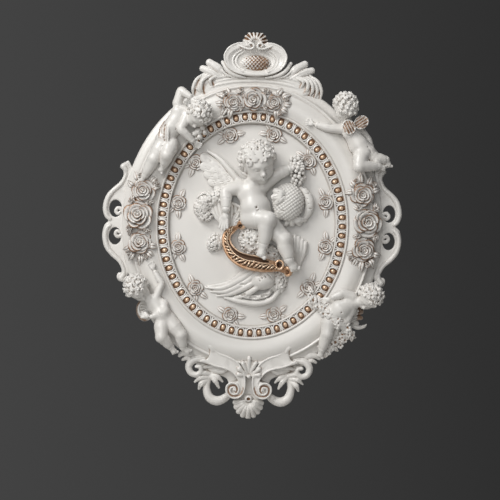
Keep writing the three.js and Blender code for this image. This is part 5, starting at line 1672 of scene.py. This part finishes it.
def boatMesh():
    clay = Clay((-54, -90, 8), (72, 20, 62), 0.6)
    line, size = curveThrough(boat["line"], boat["size"], 8)
    clay.path(boat["line"], boat["size"], 0.0, flat=0.8, detail=4)
    count = len(line)
    inward, ways = [], []
    middle = np.array([14.0, 10.0])
    for i in range(count):
        way = unit(line[min(i + 1, count - 1)] - line[max(i - 1, 0)])
        side = np.array([-way[1], way[0], 0.0])
        if side[:2] @ (middle - line[i][:2]) < 0:
            side = -side
        inward.append(side)
        ways.append(way)

    def onHull(i, across, lift=0.0):
        # a place on the hull, -1 at its keel and 1 at its upper edge
        i = min(max(int(i), 0), count - 1)
        high = sqrt(max(0.0, 1 - across * across)) * 0.8 * size[i] + lift
        return line[i] + inward[i] * size[i] * across + np.array([0, 0, high])

    start, stop = int(count * 0.26), int(count * 0.8)
    shades, pick = [], np.random.default_rng(12)
    # open hollow along the upper side
    spread = [sin(pi * (i - start + 3) / (stop - start + 6)) for i in range(start, stop, 4)]
    hollow = [onHull(i, 0.62, -0.6) for i in range(start, stop, 4)]
    clay.path(hollow, [max(1.0, 0.34 * size[i] * s) for i, s in zip(range(start, stop, 4), spread)], 0.6, True)
    shades.append((hollow, [max(1.8, 0.55 * size[i] * s) for i, s in zip(range(start, stop, 4), spread)], 1.0))
    # rolled keel, the ridge over the ribs and the upper lip
    clay.path([onHull(i, -0.74, 0.2) for i in range(12, count - 14, 4)], [2.6] * len(range(12, count - 14, 4)),
        0.4)
    clay.path([onHull(i, 0.26, 0.6) for i in range(10, count - 12, 4)], 1.1, 0.4)
    clay.path([onHull(i, 0.97, 0.8) for i in range(6, count - 10, 4)], 1.3, 0.4)
    for k in range(boat["ribs"]):
        # slanting ribs with deep grooves between
        i = 8 + (count - 22) * k / (boat["ribs"] - 1)
        step = (count - 22) / (boat["ribs"] - 1)
        lean, top = pick.uniform(0.8, 2.4), pick.uniform(0.06, 0.24)
        clay.path([onHull(i - lean, -0.48, 0.6), onHull(i, -0.14, 1.3), onHull(i + lean, top, 0.8)],
            [1.0, pick.uniform(1.2, 1.7), 1.0], 0.2, detail=3)
        groove = [onHull(i + step / 2 - lean, -0.46, 0.2), onHull(i + step / 2, -0.16, 0.2),
            onHull(i + step / 2 + lean, top, 0.2)]
        clay.path(groove, [0.7, 1.1, 0.8], 0.3, True)
        shades.append((groove, pick.uniform(1.3, 2.0), 0.9))
    # hooked prow, ring and curled stern
    clay.path([(-22, -1, 26), (-17, 3, 29), (-12.5, 1, 31), (-13, -4, 31), (-18, -6, 29)],
        [3.6, 3.6, 3.0, 2.6, 2], 0.8)
    clay.ball((-18.5, -3, 31), (2.4, 2.4, 4), 0.6, True)
    shades.append(([(-18.5, -3, 30), (-18.2, -3, 30)], 4.2, 1.0))
    angles = np.linspace(0, 2 * pi, 13)
    clay.path([(43.5 + 5.6 * cos(a), -61 + 6.6 * sin(a), 36) for a in angles], 1.8, 0.6)
    clay.ball((43.5, -61, 36), (3.8, 4.8, 4), 0.6, True)
    shades.append(([(43, -61, 34), (44, -61, 34)], 5.6, 1.0))
    clay.path([(50, -68, 28), (56, -66, 31), (61, -70, 30), (60, -76, 29), (54.5, -77, 29), (52, -73, 30)],
        [3, 3.2, 2.8, 2.4, 2.0, 1.5], 0.8)
    return clay.model("shellBoat", [], 0.008, shades)


keep("shellBoat", boatMesh(), boatLeaf)
print("boat")

rock = {
    # rounded masses with the number of lumps and pits on each
    "masses": [((3, -22, 16), (24, 24, 19), 330), ((30, -46, 14), (15, 15, 14), 130),
               ((42, -84, 13), (14, 22, 11), 190), ((28, -62, 13), (16, 14, 12), 120)],
    "seed": 40, "grain": 2.1, "folds": 4,
}


def pitted(clay, middle, radii, count, seed, size):
    # coral-like crust of small lumps and pits
    pick = np.random.default_rng(seed)
    for k in range(count):
        way = unit(pick.normal(size=3) * (1, 1, 0.8))
        way[2] = abs(way[2])
        at = np.asarray(middle) + way * np.asarray(radii) * pick.uniform(0.94, 1.03)
        grain = pick.uniform(0.6, 1.25) * size
        if k % 3:
            clay.ball(at, grain, grain * 0.4)
        else:
            clay.ball(at + way * grain * 0.1, grain * 0.95, grain * 0.3, True)


def rockMesh():
    clay = Clay((-26, -112, 8), (92, 14, 44), 0.7)
    for c, r, _ in rock["masses"]:
        clay.ball(c, r, 4)
    for index, (c, r, count) in enumerate(rock["masses"]):
        pitted(clay, c, r, count, rock["seed"] + index, rock["grain"])
    # drapery beside the knee
    for k in range(rock["folds"]):
        clay.path([(64 + 3 * k, -58 - 3 * k, 14), (66 + 5 * k, -38 - 1.5 * k, 20 - k),
            (67 + 5.5 * k, -16 - 3.5 * k, 16)], [2.4, 4.2, 3.6], 1.6)
    clay.settle(2.0)
    return clay.model("rock", [], 0.008)


keep("rock", rockMesh(), rubbedIvory)

wave = {
    # strands that stream in from the left and gather into the crest, with their widths and rising heights
    "strands": [
        ((-70, -99), (-44, -99), (-14, -84), (0, -72), 4.2),
        ((-62, -105), (-38, -104), (-10, -90), (10, -74), 4.2),
        ((-52, -112), (-32, -108), (-8, -97), (12, -84), 4),
        ((-40, -116), (-20, -113), (0, -104), (16, -92), 3.8),
        ((-66, -97), (-36, -91), (-14, -76), (-6, -68), 3),
        ((-36, -90), (-20, -80), (-10, -70), (-4, -64), 3.4),
    ],
    "heights": (13, 17, 24, 27),
}


def waveMesh():
    clay = Clay((-84, -134, 8), (64, -60, 46), 0.65)
    for *spots, size in wave["strands"]:
        clay.path([(*spot, z) for spot, z in zip(spots, wave["heights"])], [1.2, size, size + 1, size + 1], 0.7)
    clay.ball((18, -86, 21), (20, 15, 15), 1.5)
    clay.ball((24, -76, 22), (14, 12, 12), 2)
    # lines over the rounded crest
    for k in range(5):
        clay.path([(-2 + 3 * k, -74 + 2 * k, 32.5 - k * 0.4), (8 + 4 * k, -86 + 3 * k, 36.5 - k * 0.6),
            (14 + 5 * k, -101 + 4 * k, 29)], [0.4, 1.0, 0.4], 0.8, True)
    # swirls under it, with hollows between
    clay.path([(-40, -114, 14), (-18, -119, 17), (8, -122, 18), (30, -117, 18), (42, -104, 17), (44, -92, 17)],
        [2.4, 4.4, 5, 5, 4.2, 3], 0.8)
    clay.path([(-24, -110, 16), (-4, -112, 21), (14, -112, 22), (28, -106, 21), (34, -96, 21)],
        [2, 3.4, 3.8, 3.6, 2.6], 0.7)
    for at, radii in (((4, -113, 26), (6.5, 3.4, 5)), ((22, -110, 25), (5.5, 3.2, 5)),
            ((-12, -108, 23), (5, 2.6, 4)), ((-14, -93, 30), (6, 2.2, 4)), ((34, -102, 24), (3.4, 4, 5))):
        clay.ball(at, radii, 1.2, True)
    clay.settle(2.5)
    return clay.model("wave", [], 0.008)


keep("wave", waveMesh(), rubbedIvory)

bouquet = {
    "flower": 2.0, "spacing": 6.0, "foot": (-34.5, -10), "ribs": 8,
    "lumps": [((-70, 36, 20), (15, 12, 9)), ((-78, 24, 18), (11, 13, 8)), ((-72, 13, 17), (9, 8, 7)),
              ((-55, 42, 21), (12, 8, 8))],
    "posy": [((-56, -28, 15), (10, 10, 7)), ((-60, -34, 14), (8, 7, 6))],
}


def bouquetMesh():
    clay = Clay((-96, -48, 8), (-12, 62, 44), 0.68)
    # ribbed cone gathered to a point below the hand, open at the top
    foot = bouquet["foot"]
    for k in range(bouquet["ribs"]):
        top = (-66 + 6.6 * k, 36 - 1.4 * k)
        bow = (k - 3.5) * 1.5
        clay.path([(foot[0], foot[1], 19), ((foot[0] + top[0]) / 2 + bow, (foot[1] + top[1]) / 2 - 3,
            26 - abs(k - 3.5)), (top[0], top[1], 25 - abs(k - 3.5))], [1.6, 2.8, 3.4], 0.3, detail=4)
    clay.path([(-68, 37, 24), (-56, 38.5, 27), (-42, 36, 28), (-30, 32, 27), (-19, 27, 24)], 2.4, 0.4)
    # leaves on the right of the wrist
    for tip, size in (((-21, 22), 4.2), ((-19, 12), 4.0), ((-22, 3), 3.6)):
        clay.path([(-32, -4, 22), ((-32 + tip[0]) / 2 + 1, tip[1] * 0.5, 27), (tip[0], tip[1], 22)],
            [3, size + 0.6, size * 0.5], 0.5)
        clay.path([(-31, 0, 27), ((-32 + tip[0]) / 2 + 1, tip[1] * 0.5, 31.5), (tip[0], tip[1], 25)],
            [0.3, 0.7, 0.3], 0.5, True)
    clay.path([(-34.5, -10, 20), (-42, -18, 19), (-50, -26, 17)], [3, 4, 5], 1.0)
    for c, r in bouquet["lumps"] + bouquet["posy"]:
        clay.ball(c, np.subtract(r, 0.5), 2.0)
    clay.settle(2.0)
    shades = [([c, c], max(r) + 4, 0.45) for c, r in bouquet["lumps"] + bouquet["posy"]]
    return clay.model("bouquetStems", [], 0.008, shades)


keep("bouquetStems", bouquetMesh(), rubbedIvory)


def blossomMesh(size):
    # small open flower of five petals with a dent in the middle
    clay = Clay((-2.4 * size, -2.4 * size, -1.2), (2.4 * size, 2.4 * size, 2.6 * size), size / 3.2)
    for k in range(5):
        a = k * 2 * pi / 5
        clay.ball((cos(a) * size * 1.15, sin(a) * size * 1.15, size * 0.7), (size, size, size * 0.85), 0.15)
    clay.ball((0, 0, size * 0.7), size, 0.2)
    clay.ball((0, 0, size * 1.9), size * 0.62, 0.2, True)
    mesh = clay.model("blossom", [([(0, 0, size), (0, 0, size + 0.4)], size * 1.2, 0.3)], 0.03, share=0.4)
    mesh.transform(Matrix.Rotation(-pi / 2, 4, "X"))
    return mesh


strewn("bouquetFlowers", lumpMass("bouquetMass", bouquet["lumps"]), blossomMesh(bouquet["flower"]),
    bouquet["spacing"], (0.8, 1.3), 6, rubbedIvory)
strewn("posyFlowers", lumpMass("posyMass", bouquet["posy"]), blossomMesh(bouquet["flower"]),
    bouquet["spacing"] * 0.85, (0.8, 1.2), 8, rubbedIvory)
print("rock, wave and bouquet")

garland = {"line": [(-31, 30, 0), (-27, 23, 2), (-20, 15, 5), (-13, 6, 9), (-4, -2, 12), (8, -9, 12),
    (20, -19, 6), (23, -25, 2), (16, -34, -2), (5, -42, -5), (-4, -51, -8), (-12, -62, -10)], "flowers": 76,}


def garlandMesh():
    # small five-petalled flowers and leaves crowded along the falling string
    x0, y0, _ = onBand(poses["lowerRight"]["angle"], poses["lowerRight"]["offset"])
    rows = [(x0 + x, y0 + y, oval["panelTop"] + z) for x, y, z in garland["line"]]
    line, _ = curveThrough(rows, 1, 12)
    pick = np.random.default_rng(19)
    bunch = Bunch()
    core = Clay((rows[0][0] - 20, y0 - 78, -1.4), (x0 + 36, y0 + 56, 46), 0.7)
    core.path(rows, [4, 5, 6, 6.5, 7, 7, 7, 7, 7, 6, 5, 4], 0, detail=4)
    gold = []
    for k in range(garland["flowers"]):
        stem = line[int((k + 0.5) / garland["flowers"] * (len(line) - 1))]
        at = stem + pick.normal(size=3) * (5.0, 3.6, 0)
        at[2] += 5.5 - 0.25 * np.hypot(*(at[:2] - stem[:2]))
        size = pick.uniform(1.9, 2.9)
        out = unit(pick.normal(size=3) * (0.5, 0.5, 0) + (0, 0, 1))
        first = unit(np.cross(out, (0.3, 1, 0.2)))
        second = np.cross(out, first)
        spin = pick.uniform(0, 6)
        for petal in range(5):
            a = spin + petal * 2 * pi / 5
            core.ball(at + (first * cos(a) + second * sin(a)) * size * 1.35, size, 0.3)
        core.ball(at + out * size * 0.9, size * 0.55, 0.3, True)
        gold.append(([at, at + out * 0.5], size * 1.3, 1.0 if k % 2 else 0.5))
        if k % 3 == 0:
            addLeaf(bunch, at[0], at[1], max(at[2] - 2, 4), 12, 7, 4, pick.uniform(0, 6.28), 0.4, 0.8)
    core.settle(2.0)
    return bunch.mesh("garlandLeaves"), core.model("garlandFlowers", gold, 0.01)


garlandLeaves, garlandFlowers = garlandMesh()
keep("garlandLeaves", garlandLeaves, rubbedIvory)
keep("garlandFlowers", garlandFlowers, rubbedIvory)
print("garland")

for piece in pieces:
    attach(piece, "root")
    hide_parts("angel_plaque")

stageRule = {
    # the photo's middle lies 2.4 mm left of the oval's middle and 39.2 mm under it
    "cameraX": -0.0024, "cameraZ": -0.0392, "cameraDistance": 1.9, "lens": 87.2, "roll": 1.2,
    "floorDrop": 0.75, "floorRadius": 1.35,
    "world": ((0.056, 0.056, 0.056, 1), (0.029, 0.029, 0.029, 1)),
    # name, place, width, power and colour
    "lights": [("keyLight", (-1.0, -1.1, 1.15), 1.0, 23.5, (1.0, 0.988, 0.968)),
               ("fillLight", (-0.5, -2.3, 0.4), 2.0, 21, (1.0, 0.995, 0.985)),
               ("rimLight", (0.4, -0.9, 2.1), 0.8, 7, (1, 1, 1))],
}


def floorFinish():
    f = Finish("paleFloor")
    colour = f.mixed(f.noise(6.0, 3.0), (0.62, 0.61, 0.59, 1), (0.68, 0.67, 0.65, 1))
    return f.finish(Base_Color=colour, Roughness=0.8)


def stageFloor():
    around, ahead, level = 96, 300, -stageRule["floorDrop"] * 1000
    angles = np.linspace(0, 2 * np.pi, around, endpoint=False)
    r = stageRule["floorRadius"] * 1000
    rim = np.column_stack((r * np.cos(angles), np.full(around, level), -r * np.sin(angles) + ahead))
    points = np.vstack((rim, [[0, level, ahead]]))
    here = np.arange(around)
    tris = np.column_stack((np.full(around, around), (here + 1) % around, here))
    mesh = makeMesh("floor", points, [tris], {})
    floor = makeObject("floor", mesh, floorFinish())
    if mesh.polygons[0].normal.z < 0:
        mesh.flip_normals()


def softLight(name, at, size, power, colour):
    light = bpy.data.lights.new(name, "AREA")
    light.shape, light.size, light.energy, light.color = "DISK", size, power, colour
    lamp = bpy.data.objects.new(name, light)
    lamp.location = at
    lamp.rotation_euler = (Vector((0, 0, 0)) - Vector(at)).to_track_quat("-Z", "Y").to_euler()
    lamp.visible_camera = False
    bpy.context.scene.collection.objects.link(lamp)


stageFloor()
for settings in stageRule["lights"]:
    softLight(*settings)

world = bpy.data.worlds.new("greyRoom")
world.use_nodes = True
worldNodes, worldLinks = world.node_tree.nodes, world.node_tree.links
worldWay = worldNodes.new("ShaderNodeTexCoord")
worldSplit = worldNodes.new("ShaderNodeSeparateXYZ")
worldFade = worldNodes.new("ShaderNodeValToRGB")
worldFade.color_ramp.elements[0].position, worldFade.color_ramp.elements[1].position = 0.3, 0.7
worldFade.color_ramp.elements[0].color, worldFade.color_ramp.elements[1].color = stageRule["world"]
worldScale = worldNodes.new("ShaderNodeMapRange")
worldScale.inputs["From Min"].default_value, worldScale.inputs["From Max"].default_value = -0.5, 0.5
worldLinks.new(worldWay.outputs["Generated"], worldSplit.inputs[0])
worldLinks.new(worldSplit.outputs["X"], worldScale.inputs["Value"])
worldLinks.new(worldScale.outputs[0], worldFade.inputs[0])
worldLinks.new(worldFade.outputs[0], worldNodes["Background"].inputs["Color"])
bpy.context.scene.world = world

cameraData = bpy.data.cameras.new("camera")
cameraData.lens, cameraData.sensor_width = stageRule["lens"], 36
cameraData.clip_start, cameraData.clip_end = 0.05, 50
camera = bpy.data.objects.new("camera", cameraData)
tilt = radians(stageRule["roll"])
camera.location = (stageRule["cameraX"], -stageRule["cameraDistance"], stageRule["cameraZ"])
camera.rotation_euler = (Matrix.Rotation(pi / 2, 4, "X") @ Matrix.Rotation(tilt, 4, "Z")).to_euler()
bpy.context.scene.collection.objects.link(camera)
bpy.context.scene.camera = camera
bpy.context.scene.view_settings.view_transform = "Standard"

print("triangles in all", sum(len(p.vertices) - 2 for piece in pieces for p in piece.data.polygons))
